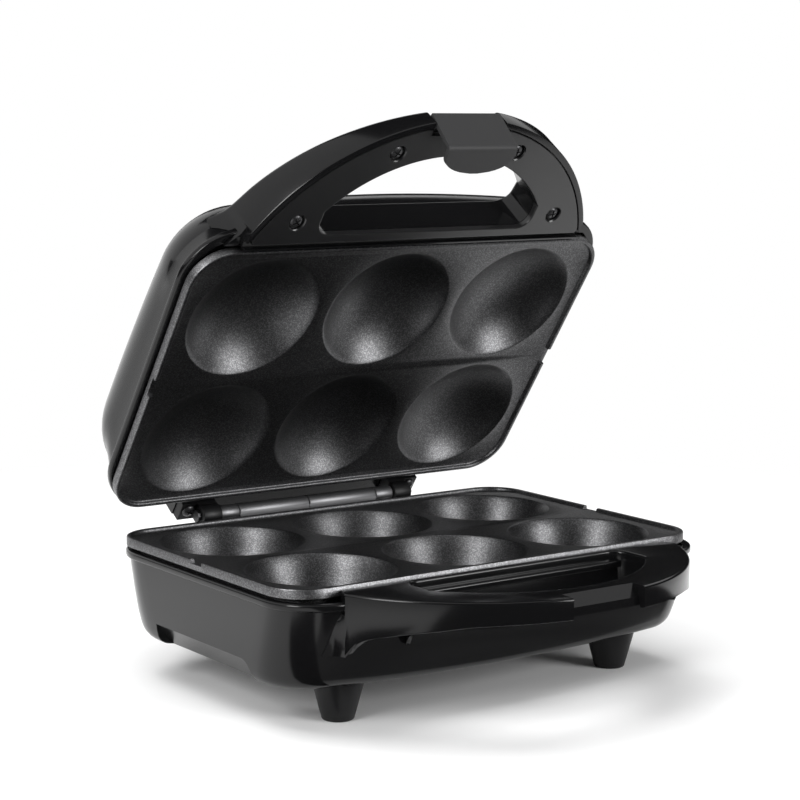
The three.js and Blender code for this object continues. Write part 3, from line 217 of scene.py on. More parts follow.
black_cloth = cloth_finish("flag_cloth", 0.004, 0.012)
grey_cloth = cloth_finish("grey_cloth", 0.2, 0.26)
flag_reach = 3.2
flag_low = 0.001
flag_steps = 8
flag_turns = [(20, 95, 1.5), (95, 135, 2.4), (135, 175, 4.0), (175, 255, 4.0), (255, 331, 0.95)]
for number, (start, stop, flag_high) in enumerate(flag_turns):
    places = [around(turn, 0, flag_reach) for turn in spread(start, stop, flag_steps)]
    hang(f"flag_{number}", [(x, y, z) for z in (flag_low, flag_high) for x, y, _ in places],
         [(i, i + 1, i + flag_steps + 2, i + flag_steps + 1) for i in range(flag_steps)], black_cloth)

cloth_turns = range(118, 223, 8)
cloth_near = 0.17
cloth_far = 3.0
cloth_height = 0.0015
ceiling_height = 3.0
ceiling_left = -0.4
ceiling_front = -0.75
front_corners = [(reach * sin(radians(turn)), reach * cos(radians(turn))) for reach, turns in (
    (cloth_near, cloth_turns), (cloth_far, reversed(cloth_turns))) for turn in turns]
side_corners = [(-0.085, -0.055), (-0.2, -0.07), (-0.165, -0.15)]
close_corners = [(-0.13, -0.07), (-0.13, -0.165), (0.2, -0.165), (0.2, -0.07)]
ceiling_corners = [(ceiling_left, ceiling_front), (flag_reach, ceiling_front), (flag_reach, flag_reach),
                   (ceiling_left, flag_reach)]
for name, corners, height, cloth in (("front_cloth", front_corners, cloth_height, black_cloth),
                                     ("corner_cloth", side_corners, cloth_height, black_cloth),
                                     ("grey_cloth", close_corners, cloth_height / 2, grey_cloth),
                                     ("ceiling", ceiling_corners, ceiling_height, black_cloth)):
    hang(name, [(x, y, height) for x, y in corners], [tuple(range(len(corners)))], cloth)


# The base housing is a deep tub moulded in gloss black plastic, tucked in at the floor, with a bead
# round its rim, a bowed front and a slanted finger scoop in each side. It is one moulding.
def eased(stations):
    """A smooth line through (place, value) stations that never runs past them."""
    places = [place for place, _ in stations]
    values = [value for _, value in stations]
    slopes = [(b - a) / (q - p) for a, b, p, q in zip(values, values[1:], places, places[1:])]
    middles = [0 if a * b <= 0 else 2 * a * b / (a + b) for a, b in zip(slopes, slopes[1:])]
    tangents = [slopes[0], *middles, slopes[-1]]

    def at(place):
        place = min(max(place, places[0]), places[-1])
        k = max(i for i in range(len(slopes)) if places[i] <= place)
        width = places[k + 1] - places[k]
        t = (place - places[k]) / width
        return (values[k] * (1 + 2 * t) * (1 - t) ** 2 + tangents[k] * width * t * (1 - t) ** 2
                + values[k + 1] * t * t * (3 - 2 * t) + tangents[k + 1] * width * t * t * (t - 1))

    return at


corner_steps = 14
edge_steps = 18


def plan_ring(plan, inset, height):
    """One loop of points round a plan with rounded corners, drawn in by inset. Height may be a function."""
    half_width, front, back = plan["half_width"], plan["front"], plan["back"]
    corners = [
        (half_width - inset, back - inset, plan["back_corner"], 0),
        (-half_width + inset, back - inset, plan["back_corner"], 1),
        (-half_width + inset, front + inset, plan["front_corner"], 2),
        (half_width - inset, front + inset, plan["front_corner"], 3),
    ]
    turns = []
    for x, y, corner, quarter in corners:
        radius = max(corner - inset, corner / 4)
        centre = (x - (radius if x > 0 else -radius), y - (radius if y > 0 else -radius))
        turns.append([(centre[0] + radius * cos(a), centre[1] + radius * sin(a))
                      for a in spread(quarter * pi / 2, (quarter + 1) * pi / 2, corner_steps)])
    flat = []
    for turn, following in zip(turns, turns[1:] + turns[:1]):
        (x, y), (next_x, next_y) = turn[-1], following[0]
        flat += turn[:-1]
        flat += list(zip(spread(x, next_x, edge_steps), spread(y, next_y, edge_steps)))[:-1]
    bow = plan.get("bow", 0)
    width = half_width - inset
    bowed = [(x, y - bow * (1 - (x / width) ** 2) if y < 0 else y) for x, y in flat]
    return [Vector((x, y, height(x, y) if callable(height) else height)) for x, y in bowed]


def skin(rings, around=False):
    """A closed skin through loops of equal counts. It is capped at both ends, or runs around to its start."""
    count = len(rings[0])
    points = [point for ring in rings for point in ring]
    rows = list(range(len(rings))) if around else list(range(len(rings) - 1))
    faces = []
    for k in rows:
        low, high = k * count, ((k + 1) % len(rings)) * count
        faces += [(low + i, low + (i + 1) % count, high + (i + 1) % count, high + i) for i in range(count)]
    if not around:
        last = (len(rings) - 1) * count
        faces += [tuple(reversed(range(count))), tuple(range(last, last + count))]
    return points, faces


def rounded(start, stop, corner, steps=4):
    """Points of a quarter round between two (out, up) places, with its corner at the third."""
    return [tuple(middle + (first - middle) * (1 - sin(a)) + (last - middle) * (1 - cos(a))
                  for first, last, middle in zip(start, stop, corner)) for a in spread(0, pi / 2, steps)]


def block(low, high):
    """A plain block between two corners, for cutting and joining."""
    points = [Vector((x, y, z)) for z in (low[2], high[2]) for x, y in (
        (low[0], low[1]), (high[0], low[1]), (high[0], high[1]), (low[0], high[1]))]
    return skin([points[:4], points[4:]])


def turned(profile, sides, axis="Z", place=(0, 0, 0), around=False):
    """A body turned about an axis from (radius, along) points, closed at the axis or around itself."""
    turn = {"X": Matrix.Rotation(pi / 2, 4, "Y"), "Y": Matrix.Rotation(-pi / 2, 4, "X"), "Z": Matrix()}[axis]
    rings = [[turn @ Vector((r * cos(a), r * sin(a), along)) + Vector(place)
              for a in spread(0, 2 * pi, sides)[:-1]] for r, along in profile]
    return skin(rings, around)


def as_object(shape):
    """A mesh object from points and faces, with its doubles merged and its faces turned outwards."""
    points, faces = shape
    mesh = bpy.data.meshes.new("draft")
    mesh.from_pydata(points, [], faces)
    work = bmesh.new()
    work.from_mesh(mesh)
    bmesh.ops.remove_doubles(work, verts=work.verts, dist=1e-4)
    bmesh.ops.dissolve_degenerate(work, edges=work.edges, dist=1e-5)
    bmesh.ops.recalc_face_normals(work, faces=work.faces)
    work.to_mesh(mesh)
    work.free()
    return placed("draft", mesh)


def baked(draft):
    """The object's mesh with its modifiers applied. The draft object is removed."""
    graph = bpy.context.evaluated_depsgraph_get()
    mesh = bpy.data.meshes.new_from_object(draft.evaluated_get(graph), depsgraph=graph)
    bpy.data.objects.remove(draft)
    return mesh


def solid(shape):
    """A mesh straight from points and faces."""
    return baked(as_object(shape))


def carved(shape, steps):
    """The shape with each (operation, tool shape) of the steps done to it in turn."""
    draft = as_object(shape)
    tools = []
    for operation, tool_shape in steps:
        tool = as_object(tool_shape)
        tools.append(tool)
        change = draft.modifiers.new("carve", "BOOLEAN")
        change.operation = operation
        change.object = tool
        change.solver = "EXACT"
    bpy.context.view_layer.update()
    mesh = baked(draft)
    for tool in tools:
        bpy.data.objects.remove(tool)
    return mesh


open_angle = 55.4
hinge_place = Vector(next(joint for joint in frame["joints"] if joint["name"] == "lid_hinge")["pos_m"])
seat_of = {"base": Matrix.Translation(plate_middle) @ Matrix.Diagonal((MM, MM, MM, 1))}
seat_of["lid"] = (Matrix.Translation(hinge_place) @ Matrix.Rotation(radians(-open_angle), 4, "X")
                  @ Matrix.Translation(-hinge_place) @ seat_of["base"])
seat_of["latch"] = seat_of["lid"]


def settle(name, mesh, material, body, nodes, crease=32):
    """Puts a finished mesh in its place as a named piece that rides on a body and stands for CAD nodes."""
    mesh.name = name
    mesh.transform(seat_of[body])
    mesh.polygons.foreach_set("use_smooth", [True] * len(mesh.polygons))
    mesh.set_sharp_from_angle(angle=radians(crease))
    mesh.materials.clear()
    mesh.materials.append(material)
    piece = placed(name, mesh)
    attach(piece, body)
    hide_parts(*nodes)


def mixed(add, share, first, second, blend="MIX"):
    """The colour between two colours, by a share."""
    mix = add("ShaderNodeMix", {"Factor": share, 6: first, 7: second}, data_type="RGBA", blend_type=blend)
    return mix.outputs[2]


def surface(name, colours, roughness, grain, bump, metallic=0.0, specular=0.5, fleck=None, painted_sheen_gain=0):
    """A finish with a fine grain in its colour, roughness and relief. Lengths are in millimetres."""
    material, add = new_material(name)
    place = add("ShaderNodeTexCoord").outputs["Object"]
    fine = add("ShaderNodeTexNoise", {"Vector": place, "Scale": 1 / (grain * MM), "Detail": 3}).outputs["Fac"]
    broad = add("ShaderNodeTexNoise", {"Vector": place, "Scale": 14, "Detail": 4}).outputs["Fac"]
    blend = add("ShaderNodeMath", {0: fine, 1: broad}, operation="MULTIPLY").outputs[0]
    colour = mixed(add, blend, (*colours[0], 1), (*colours[1], 1))
    wear = add("ShaderNodeMapRange", {
        "Value": broad, "From Min": 0.3, "From Max": 0.7, "To Min": roughness[0], "To Max": roughness[1]})
    relief = add("ShaderNodeBump", {"Height": fine, "Strength": 1, "Distance": bump * MM})
    if fleck:
        spots = add("ShaderNodeTexVoronoi", {"Vector": place, "Scale": 1 / (fleck["size"] * MM)})
        chosen = add("ShaderNodeSeparateColor", {"Color": spots.outputs["Color"]})
        pick = add("ShaderNodeMapRange", {"Value": chosen.outputs[0], "From Min": fleck["rarity"]})
        colour = mixed(add, pick.outputs["Result"], colour, (*fleck["colour"], 1))
    # Faces marked as outer walls get their colour multiplied by this gain: a painted sheen, lighter where an edge
    # would catch light.
    if painted_sheen_gain:
        mark = add("ShaderNodeAttribute", attribute_name="painted_sheen_wall")
        colour = mixed(add, mark.outputs["Fac"], colour, (painted_sheen_gain, painted_sheen_gain, painted_sheen_gain, 1), "MULTIPLY")
    shader = add("ShaderNodeBsdfPrincipled", {
        "Base Color": colour, "Metallic": metallic, "Specular IOR Level": specular,
        "Roughness": wear.outputs["Result"], "Normal": relief.outputs["Normal"]})
    add("ShaderNodeOutputMaterial", {"Surface": shader.outputs[0]})
    return material


gloss_black = surface("gloss_black", ((0.0035, 0.0035, 0.0038), (0.006, 0.006, 0.0063)),
                      (0.13, 0.2), 0.9, 0.0006, specular=0.32)

foot_height = 18
wall_top = 56
rim_top = 59.5
ledge_top = 56.7
ledge_depth = 3.5
ledge_reach = 4.8
wall = 2.5
wall_height = wall_top - foot_height
bead_out = 1.8
base_tuck = 10.5
front_lean = 11.8
front_bow = 11.2
back_corner_growth = 13
gap = 0.3
shell_plan = {"half_width": 118.47, "front": -84.05, "back": 82.55, "front_corner": 25, "back_corner": 30}
tuck = eased([(0, 1), (0.02, 0.6), (0.06, 0.34), (0.13, 0.18), (0.32, 0.07), (0.62, 0.02), (1, 0)])


def tub_ring(rise, inset):
    """The tub's outline at a share of its wall's height: the front leans and bows out, the corners widen."""
    lean = 1 - rise
    plan = dict(shell_plan, front=shell_plan["front"] + front_lean * lean, bow=front_bow * (1 - rise ** 2),
                back_corner=shell_plan["back_corner"] + back_corner_growth * lean)
    return plan_ring(plan, inset, foot_height + rise * wall_height)


wall_rises = [0, 0.003, 0.008, 0.014, 0.02, 0.03, 0.045, 0.06, 0.09, 0.13, 0.2, 0.32, 0.46, 0.62, 0.8, 1]
bead_line = [
    *rounded((0.3, wall_top), (bead_out, wall_top + 0.9), (bead_out, wall_top)),
    *rounded((bead_out, rim_top - 1), (bead_out - 1, rim_top), (bead_out, rim_top)),
]


def tub_rings(grow):
    """The tub's outside from its floor up over the bead, grown by a clearance."""
    sides = [tub_ring(rise, tuck(rise) * base_tuck - grow) for rise in wall_rises]
    bead = [plan_ring(shell_plan, -out - grow, up + (grow if up > wall_top + 1 else 0))
            for out, up in bead_line]
    return sides + bead


inner_rises = [0.8, 0.62, 0.46, 0.32, 0.2, 0.13, 0.09]
tub = skin([
    *tub_rings(0),
    *[plan_ring(shell_plan, inset, up) for inset, up in (
        (wall - 0.5, rim_top), (wall, rim_top - 0.5), (wall, ledge_top), (wall + ledge_reach, ledge_top),
        (wall + ledge_reach, ledge_top - ledge_depth))],
    *[tub_ring(rise, tuck(rise) * base_tuck + wall) for rise in inner_rises],
    tub_ring(wall / wall_height, 0.8 * base_tuck),
])

scoop_top_depth = 1.5
scoop_low_depth = 10.2
scoop_height = 10.7
scoop_front = -45
scoop_back = 37
scoop_corner = 8
scoop_steps = 8
overrun = 4


def scoop(right, deeper, low):
    """A slanted recess in the lower side wall with a rounded front end, drawn as slices along its length."""
    half_width = shell_plan["half_width"]
    outer = half_width + overrun
    foot = half_width - scoop_low_depth - deeper
    slope = (scoop_low_depth - scoop_top_depth) / scoop_height
    high = foot_height + scoop_height + deeper
    places = [(scoop_front - deeper + scoop_corner * (1 - cos(a)), high - scoop_corner * (1 - sin(a)))
              for a in spread(0, pi / 2, scoop_steps)]
    slices = []
    for y, top in [*places, (scoop_back + deeper, high)]:
        inner = foot + (top - foot_height) * slope
        slices.append([Vector((right * x, y, z)) for x, z in (
            (foot, low), (outer, low), (outer, top), (inner, top), (foot, foot_height))])
    return skin(slices)


backing_inset = 0.6
backing_drop = 1
tub_inside = skin([tub_ring(rise, tuck(rise) * base_tuck + backing_inset) for rise in wall_rises])
tub_steps = []
for right in (-1, 1):
    backing = carved(scoop(right, wall, foot_height - backing_drop), [("INTERSECT", tub_inside)])
    tub_steps.append(("UNION", ([corner.co.copy() for corner in backing.vertices],
                                [tuple(face.vertices) for face in backing.polygons])))
tub_steps += [("DIFFERENCE", scoop(right, 0, foot_height - overrun)) for right in (-1, 1)]

hinge_y = 89.05
hinge_z = 65.6
leaf_half_width = 41.7
sleeve_radius = 4
hinge_pad_half_width = 46
hinge_pad_low = 41.7
hinge_pad_top = 58.9
hinge_pad = block((-hinge_pad_half_width, shell_plan["back"] - wall / 2, hinge_pad_low),
                  (hinge_pad_half_width, hinge_y - sleeve_radius - gap, hinge_pad_top))
gland_right = 84
gland_z = 34
gland_hole_radius = 5
gland_hole_reach = 20
gland_hole = turned([(0, -gland_hole_reach), (gland_hole_radius, -gland_hole_reach),
                     (gland_hole_radius, gland_hole_reach), (0, gland_hole_reach)],
                    40, "Y", (gland_right, shell_plan["back"], gland_z))
base_shell = carved(tub, [*tub_steps, ("UNION", hinge_pad), ("DIFFERENCE", gland_hole)])
settle("tub", base_shell, gloss_black, "base", ["base_shell"])


# The base handle is a half ring of the same gloss black plastic, moulded on the tub's front and open
# underneath. It has a hand opening, and a ramped notch in its front edge where the latch snaps under.
handle_centre = -44.65
handle_radius = 104
opening_centre = -52.65
opening_radius = 78
opening_half_width = 61.5
opening_corner = 7
root_line = shell_plan["front"] - bead_out
root_drop = handle_centre - root_line
arc_root = sqrt(handle_radius ** 2 - root_drop ** 2)
corner_rows = 8
side_rows = 10
front_rows = 84
arc_rows = front_rows + 2 * (corner_rows + side_rows - 2)
back_rows = 28
back_web = 1.2


def half_ring(radius, back_y, root_half_width, inset=0.0):
    """The outer outline of a handle: an arc from root to root, then straight across the back."""
    angle = asin(sqrt(radius ** 2 - root_drop ** 2) / radius)
    reach = radius - inset
    root = root_half_width - inset
    back = back_y - min(inset, back_web)
    arc = [(reach * sin(a), handle_centre - reach * cos(a)) for a in spread(-angle, angle, arc_rows)]
    end_x, end_y = arc[-1]
    flare = [((end_x + root) / 2, (end_y + back) / 2), (root, back)]
    across = [(x, back) for x in spread(root, -root, back_rows)[1:-1]]
    return [(-x, y) for x, y in reversed(flare)] + arc + flare + across


def hand_opening(grow, back_y):
    """The outline of the hand opening, point for point with the half ring round it."""
    half_width = opening_half_width + grow
    radius = opening_radius + grow
    corner = opening_corner + grow
    back = back_y + min(grow, back_web)
    angle = asin(half_width / radius)
    side_top = back - corner
    side_low = opening_centre - radius * cos(angle)
    left = [(-half_width + corner - corner * sin(a), side_top + corner * cos(a))
            for a in spread(pi / 4, pi / 2, corner_rows)[:-1]]
    left += [(-half_width, y) for y in spread(side_top, side_low, side_rows)[:-1]]
    middle = [(radius * sin(a), opening_centre - radius * cos(a)) for a in spread(-angle, angle, front_rows)]
    right = [(-x, y) for x, y in reversed(left)]
    inner = half_width - corner
    bend = 6
    across = [(inner + corner * sin(a), side_top + corner * cos(a)) for a in spread(pi / 4, 0, bend)[1:]]
    across += [(x, back) for x in spread(inner, -inner, back_rows - 2 * bend)[1:-1]]
    across += [(-x, y) for x, y in reversed(across[:bend])]
    return left + middle + right + across


def at_height(outline, height):
    """An outline of (x, y) points raised to a height, which may be a function of y."""
    return [Vector((x, y, height(y) if callable(height) else height)) for x, y in outline]


handle_top = 63.8
handle_skin = 3
base_root_height = 27
base_tip_height = 9.6
sag_share = eased([(0, 1), (0.06, 0.74), (0.15, 0.54), (0.27, 0.42), (0.38, 0.32), (0.54, 0.2), (0.7, 0.075),
                   (0.86, 0.03), (1, 0)])
base_handle_back = -78.78
base_opening_back = shell_plan["front"] + 2.4
base_root = arc_root - wall


def base_handle_low(y, lift=0.0):
    """The height of the base handle's lower edge, which drops towards the tub."""
    out = (root_line - y) / (handle_radius - root_drop)
    return handle_top - base_tip_height - sag_share(out) * (base_root_height - base_tip_height) + lift


def base_outer(inset, height):
    """The base handle's outer outline, drawn in by inset."""
    return at_height(half_ring(handle_radius, base_handle_back, base_root, inset), height)


def base_inner(grow, height):
    """The outline of the base handle's hand opening, grown."""
    return at_height(hand_opening(grow, base_opening_back), height)


top_round = rounded((0, -1.2), (1.2, 0), (0, 0))
low_round = [(0.7, 0), (0.2, 0.2), (0, 0.7)]


def base_wall(outline):
    """One wall of the handle's channel, from inside it, round its lower edge and up to the top."""
    return [
        outline(handle_skin, handle_top - handle_skin), outline(handle_skin, base_handle_low),
        *[outline(inset, lambda y, lift=up: base_handle_low(y, lift)) for inset, up in low_round],
        *[outline(inset, handle_top + up) for inset, up in top_round],
    ]


base_handle_rings = base_wall(base_outer) + base_wall(base_inner)[::-1]
notch_half_width = 20.2
notch_front = handle_centre - handle_radius
notch_depth = 5.8
notch_ramp = 4.4
notch_ramp_drop = 5.3
base_tip_low = handle_top - base_tip_height
fill_half_width = notch_half_width + handle_skin
fill_inset = 1
fill_steps = 12
fill_slices = []
for x in spread(-fill_half_width, fill_half_width, fill_steps):
    fill_front = handle_centre - sqrt((handle_radius - fill_inset) ** 2 - x * x)
    fill_back = opening_centre - sqrt((opening_radius + fill_inset) ** 2 - x * x)
    fill_slices.append([Vector((x, y, z)) for y, z in (
        (fill_front, base_tip_low + 0.7), (fill_back, base_tip_low - 0.2),
        (fill_back, handle_top - fill_inset), (fill_front, handle_top - fill_inset))])


def side_body(points, half_width):
    """A body drawn out along X from a side view of (y, z) points."""
    return skin([[Vector((x, y, z)) for y, z in points] for x in (-half_width, half_width)])


notch = side_body([
    (notch_front + notch_depth + notch_ramp * 2, handle_top + notch_ramp_drop),
    (notch_front + notch_depth, handle_top - notch_ramp_drop),
    (notch_front + notch_depth, base_tip_low - overrun),
    (notch_front - overrun, base_tip_low - overrun),
    (notch_front - overrun, handle_top + notch_ramp_drop),
], notch_half_width)
fairing_low = 36
fairing_high = 54.6
fairing_steps = 10
fairing_reach = 6.5
fairing_taper = 0.7
fairing_spare = 0.3
fairing_sink = 0.6
fairing_bend = Vector((0.4, -1.6))
fairing_heel = Vector((-6, 5))
fairing_depth = 8
meet_inset = 0.1
meet_reach = 2.6
meet_climb = 2.4


def tub_front(x, rise):
    """Where the tub's front wall stands at a place across it and a share of its height."""
    front = shell_plan["front"] + front_lean * (1 - rise) + tuck(rise) * base_tuck
    return front - front_bow * (1 - rise ** 2) * (1 - (x / shell_plan["half_width"]) ** 2)


def fairing(right):
    """The fillet that leads the handle's outer wall into the tub at one root, as slices up its height."""
    slices = []
    for share in spread(0, 1, fairing_steps):
        height = fairing_low + share * (fairing_high - fairing_low)
        out = arc_root + fairing_spare + fairing_reach * (1 - share) ** fairing_taper
        start = Vector((out, tub_front(out, (height - foot_height) / wall_height) + fairing_sink))
        meet = arc_root - meet_inset - meet_reach * min(1, share * meet_climb)
        finish = Vector((meet, handle_centre - sqrt((handle_radius - 0.02) ** 2 - meet ** 2)))
        bend = Vector((arc_root, start.y)) + fairing_bend
        curve = [start * (1 - t) ** 2 + bend * 2 * t * (1 - t) + finish * t * t for t in spread(0, 1, 5)]
        # The slice closes inside the handle's wall and the tub, where it isn't seen.
        curve += [finish + Vector((-1.6, 1.4)), Vector((arc_root, root_line)) + fairing_heel,
                  Vector((out, root_line + fairing_depth))]
        slices.append([Vector((right * p.x, p.y, height)) for p in curve])
    return skin(slices)


moulded_depth = 0.4
base_handle = carved(skin(base_handle_rings, around=True), [
    ("UNION", skin(fill_slices)), ("DIFFERENCE", notch), ("UNION", fairing(-1)), ("UNION", fairing(1)),
    ("DIFFERENCE", skin(tub_rings(-moulded_depth))),
])
settle("base_grip", base_handle, gloss_black, "base", ["base_handle"])


# Both plates are aluminium castings with a dark speckled non-stick coat. A lip runs round each face,
# with a steam vent in each side, and a flange behind seats it on its housing's ledge.
# The plates' outer walls get a painted sheen: their colour is made 1.5 times lighter.
non_stick = surface(
    "non_stick", ((0.068, 0.068, 0.07), (0.118, 0.118, 0.12)), (0.38, 0.46), 0.3, 0.006, metallic=1.0,
    fleck={"size": 0.4, "rarity": 0.45, "colour": (0.18, 0.18, 0.185)}, painted_sheen_gain=1.5)

plate_plan = {"half_width": 118.07, "front": -78.15, "back": 78.15, "front_corner": 19, "back_corner": 19}
flange_plan = dict(plate_plan, front_corner=25, back_corner=30)
cup_pitch = 75.5
cup_rim = 34
cup_foot = 25
cup_depth = 29
cup_fillet = 4
dome_depth = 16
dome_rows = 22
rim_round = 0.9
cast_wall = 2.2
slab = 2.9
face_inset = 2.85
back_inset = 5.2
lip_line = [(2.6, 0.2), (2.35, 0.9), (2.25, 1.4), (1.8, 1.82), (0.7, 1.9), (0.21, 1.7), (0, 1.2), (0, -2.4),
            (0.5, -slab)]
flange_line = [(2.6, -slab), (2.6, -6.4), (back_inset, -6.4)]
vent_half_width = 5
vent_reach = 6
vent_floor = 0.02
vent_top = 4
edge_x = 108
edge_y = 68
cup_sides = 96
cup_places = [(column * cup_pitch, row * cup_pitch) for row in (-0.5, 0.5) for column in (-1, 0, 1)]


def circle(place, radius, height):
    """A loop of points round a cup."""
    return [Vector((place[0] + radius * cos(a), place[1] + radius * sin(a), height))
            for a in spread(0, 2 * pi, cup_sides)[:-1]]


def cast_plate(face, outward, hollow, under):
    """A plate whose face has a lip round it and six hollows. Both profiles run from the rim to the middle.

    Its outside walls are marked so that the finish paints them lighter, a painted sheen for the light that their
    edges catch."""
    def up(height):
        return face + outward * height

    face_ring = plan_ring(plate_plan, face_inset, face)
    back_ring = plan_ring(flange_plan, back_inset, up(-slab))
    lip = [plan_ring(plate_plan, inset, up(height)) for inset, height in lip_line]
    flange = [plan_ring(flange_plan, inset, up(height)) for inset, height in flange_line]
    points, faces = skin([face_ring, *lip, *flange, back_ring])
    faces = faces[:-2]
    for ring, profile in ((face_ring, hollow), (back_ring, under)):
        level = ring[0].z
        holes = [circle(place, profile[0][0], level) for place in cup_places]
        start = len(points)
        flat = [p for loop in (ring, *holes) for p in loop]
        points += flat
        faces += [tuple(start + i for i in triangle) for triangle in tessellate_polygon([ring, *holes])]
        for place in cup_places:
            loops = [circle(place, radius, up(depth)) for radius, depth in profile]
            start = len(points)
            points += [p for loop in loops for p in loop]
            for k in range(len(loops) - 1):
                low, high = start + k * cup_sides, start + (k + 1) * cup_sides
                faces += [(low + i, low + (i + 1) % cup_sides, high + (i + 1) % cup_sides, high + i)
                          for i in range(cup_sides)]
            last = start + (len(loops) - 1) * cup_sides
            faces.append(tuple(range(last, last + cup_sides)))
    vent_low, vent_high = sorted((up(vent_floor), up(vent_top)))
    vents = [block((x - vent_reach, -vent_half_width, vent_low), (x + vent_reach, vent_half_width, vent_high))
             for x in (-plate_plan["half_width"], plate_plan["half_width"])]
    plate = carved((points, faces), [("DIFFERENCE", vent) for vent in vents])
    # Marks the outer walls that get the painted sheen.
    marks = plate.attributes.new("painted_sheen_wall", "FLOAT", "FACE")
    for side in plate.polygons:
        near_edge = abs(side.center.x) > edge_x or abs(side.center.y) > edge_y
        faces_out = side.normal.x * side.center.x + side.normal.y * side.center.y > 0
        marks.data[side.index].value = float(near_edge and faces_out and abs(side.normal.z) < 0.5)
    return plate


def cup_line(grow, start):
    """The line of a cup's wall from its rim to the middle of its floor, as (radius, height)."""
    slope = (cup_rim - cup_foot) / cup_depth
    low = cup_depth - cup_fillet
    foot = cup_foot + slope * cup_fillet
    line = [(cup_rim + grow + (0 if grow else rim_round), start)]
    if not grow:
        line += [(cup_rim + rim_round * (1 - sin(a)), -rim_round * (1 - cos(a)))
                 for a in spread(0, pi / 2, 5)[1:-1]]
    line += [(cup_rim + grow - slope * depth, -depth) for depth in (1.2 + grow, 6, 12, 18, 23, low)]
    line += [(foot + grow - cup_fillet * (1 - cos(a)), -low - (cup_fillet + grow) * sin(a))
             for a in spread(0, pi / 2, 8)[1:]]
    return line + [(radius, -cup_depth - grow) for radius in (16, 10, 5, 2)]


def dome_line(grow, start):
    """The line of a dome's hollow: a shallow round bowl with a small round at its rim."""
    radius = (cup_rim ** 2 + dome_depth ** 2) / (2 * dome_depth)
    arc = [((radius + grow) * sin(a), radius - dome_depth - (radius + grow) * cos(a))
           for a in spread(asin(cup_rim / radius), 0, dome_rows)[:-1]]
    if grow:
        return [(arc[0][0] + 0.5, start), *[point for point in arc if point[1] < start]]
    edge = [(cup_rim + rim_round, start), (cup_rim + 0.45, start - 0.1), (cup_rim + 0.12, start - 0.3)]
    return [*edge, *arc[1:]]


lower_face = 63.4
lower_plate = cast_plate(lower_face, 1, cup_line(0, 0), cup_line(cast_wall, -slab))
settle("cup_plate", lower_plate, non_stick, "base", ["lower_plate"], crease=40)
upper_face = 67.5
upper_plate = cast_plate(upper_face, -1, dome_line(0, 0), dome_line(cast_wall, -slab))
settle("dome_plate", upper_plate, non_stick, "lid", ["upper_plate"], crease=40)


# The lid housing is a domed shell in gloss black with the same bead, a crowned roof with a wide round
# edge, and a block across its back for the hinge arms. Two lamps look out through its roof.
lid_rim = 71.4
bead_height = 3.5
lid_edge_top = 110.2
lid_crown_x = 11.2
lid_crown_y = 3.5
lid_crown_back = 40
lid_edge_radius = 22.9
lid_draft = 0.3
lid_ledge = 74.2
shell_depth = shell_plan["back"] - shell_plan["front"]
roof_plan = dict(shell_plan, front_corner=33, back_corner=42)
edge_turns = 12
lid_wall_height = 12
lid_wall_shares = (0.3, 0.7)
roof_shares = (0.12, 0.26, 0.42, 0.58, 0.74, 0.88, 0.96)


def roof(drop):
    """The height of the lid's crowned roof, less a drop."""
    def at(x, y):
        along = (y - lid_crown_back) / shell_depth
        return (lid_edge_top + lid_crown_x * (1 - (x / shell_plan["half_width"]) ** 2)
                - lid_crown_y * (2 * along) ** 2 - drop)
    return at


def lid_rings(grow):
    """The lid's outside from its bead up its wall and over the round edge to the middle of the roof."""
    bead_top = lid_rim + bead_height
    bead = [
        *rounded((bead_out - 1, lid_rim), (bead_out, lid_rim + 1), (bead_out, lid_rim)),
        *rounded((bead_out, bead_top - 0.9), (0.3, bead_top), (bead_out, bead_top)),
    ]
    rings = [plan_ring(shell_plan, -out - grow, up - (grow if up < lid_rim + 1.5 else 0)) for out, up in bead]
    for share in lid_wall_shares:
        corners = {key: shell_plan[key] + (roof_plan[key] - shell_plan[key]) * share
                   for key in ("front_corner", "back_corner")}
        plan = dict(shell_plan, **corners)
        rings.append(plan_ring(plan, lid_draft * share - grow, bead_top + lid_wall_height * share))
    arc = []
    for a in spread(0, pi / 2, edge_turns):
        inset = lid_draft + lid_edge_radius * (1 - cos(a)) - grow * cos(a)
        arc.append(plan_ring(roof_plan, inset, roof(lid_edge_radius * (1 - sin(a)) - grow * sin(a))))
    inward = []
    for share in roof_shares:
        flat = [(p.x * (1 - share), lid_crown_back + (p.y - lid_crown_back) * (1 - share)) for p in arc[-1]]
        inward.append([Vector((x, y, roof(-grow)(x, y))) for x, y in flat])
    return rings + arc + inward


bead_rows = 10
lid_inside = lid_rings(-wall)[bead_rows + len(lid_wall_shares):]
lid_skin = skin([
    *reversed(lid_inside),
    plan_ring(shell_plan, wall + ledge_reach, lid_ledge + ledge_depth),
    plan_ring(shell_plan, wall + ledge_reach, lid_ledge),
    plan_ring(shell_plan, wall, lid_ledge),
    plan_ring(shell_plan, wall, lid_rim + 0.5),
    plan_ring(shell_plan, wall - 0.5, lid_rim),
    *lid_rings(0),
])
arm_outer = 72
arm_inner = 52.9
arm_margin = 0.5
arm_seat = 75.2
arm_front = 84.65
arm_back = 95.05
arm_block_height = 8.5
arm_block = block((-arm_outer - arm_margin, shell_plan["back"] - lid_draft - wall, arm_seat),
                  (arm_outer + arm_margin, arm_back + gap, arm_seat + arm_block_height))
lamp_places = (-12, 12)
lamp_y = -44.05
lens_radius = 4
lens_hole_radius = lens_radius + gap
lens_hole_top = lid_edge_top + lid_edge_radius
lens_hole = [(0, lid_ledge), (lens_hole_radius, lid_ledge), (lens_hole_radius, lens_hole_top),
             (0, lens_hole_top)]
lens_cuts = [("DIFFERENCE", turned(lens_hole, 40, "Z", (x, lamp_y, 0))) for x in lamp_places]
lid_shell = carved(lid_skin, [("UNION", arm_block), *lens_cuts])
settle("lid_housing", lid_shell, gloss_black, "lid", ["lid_shell"])


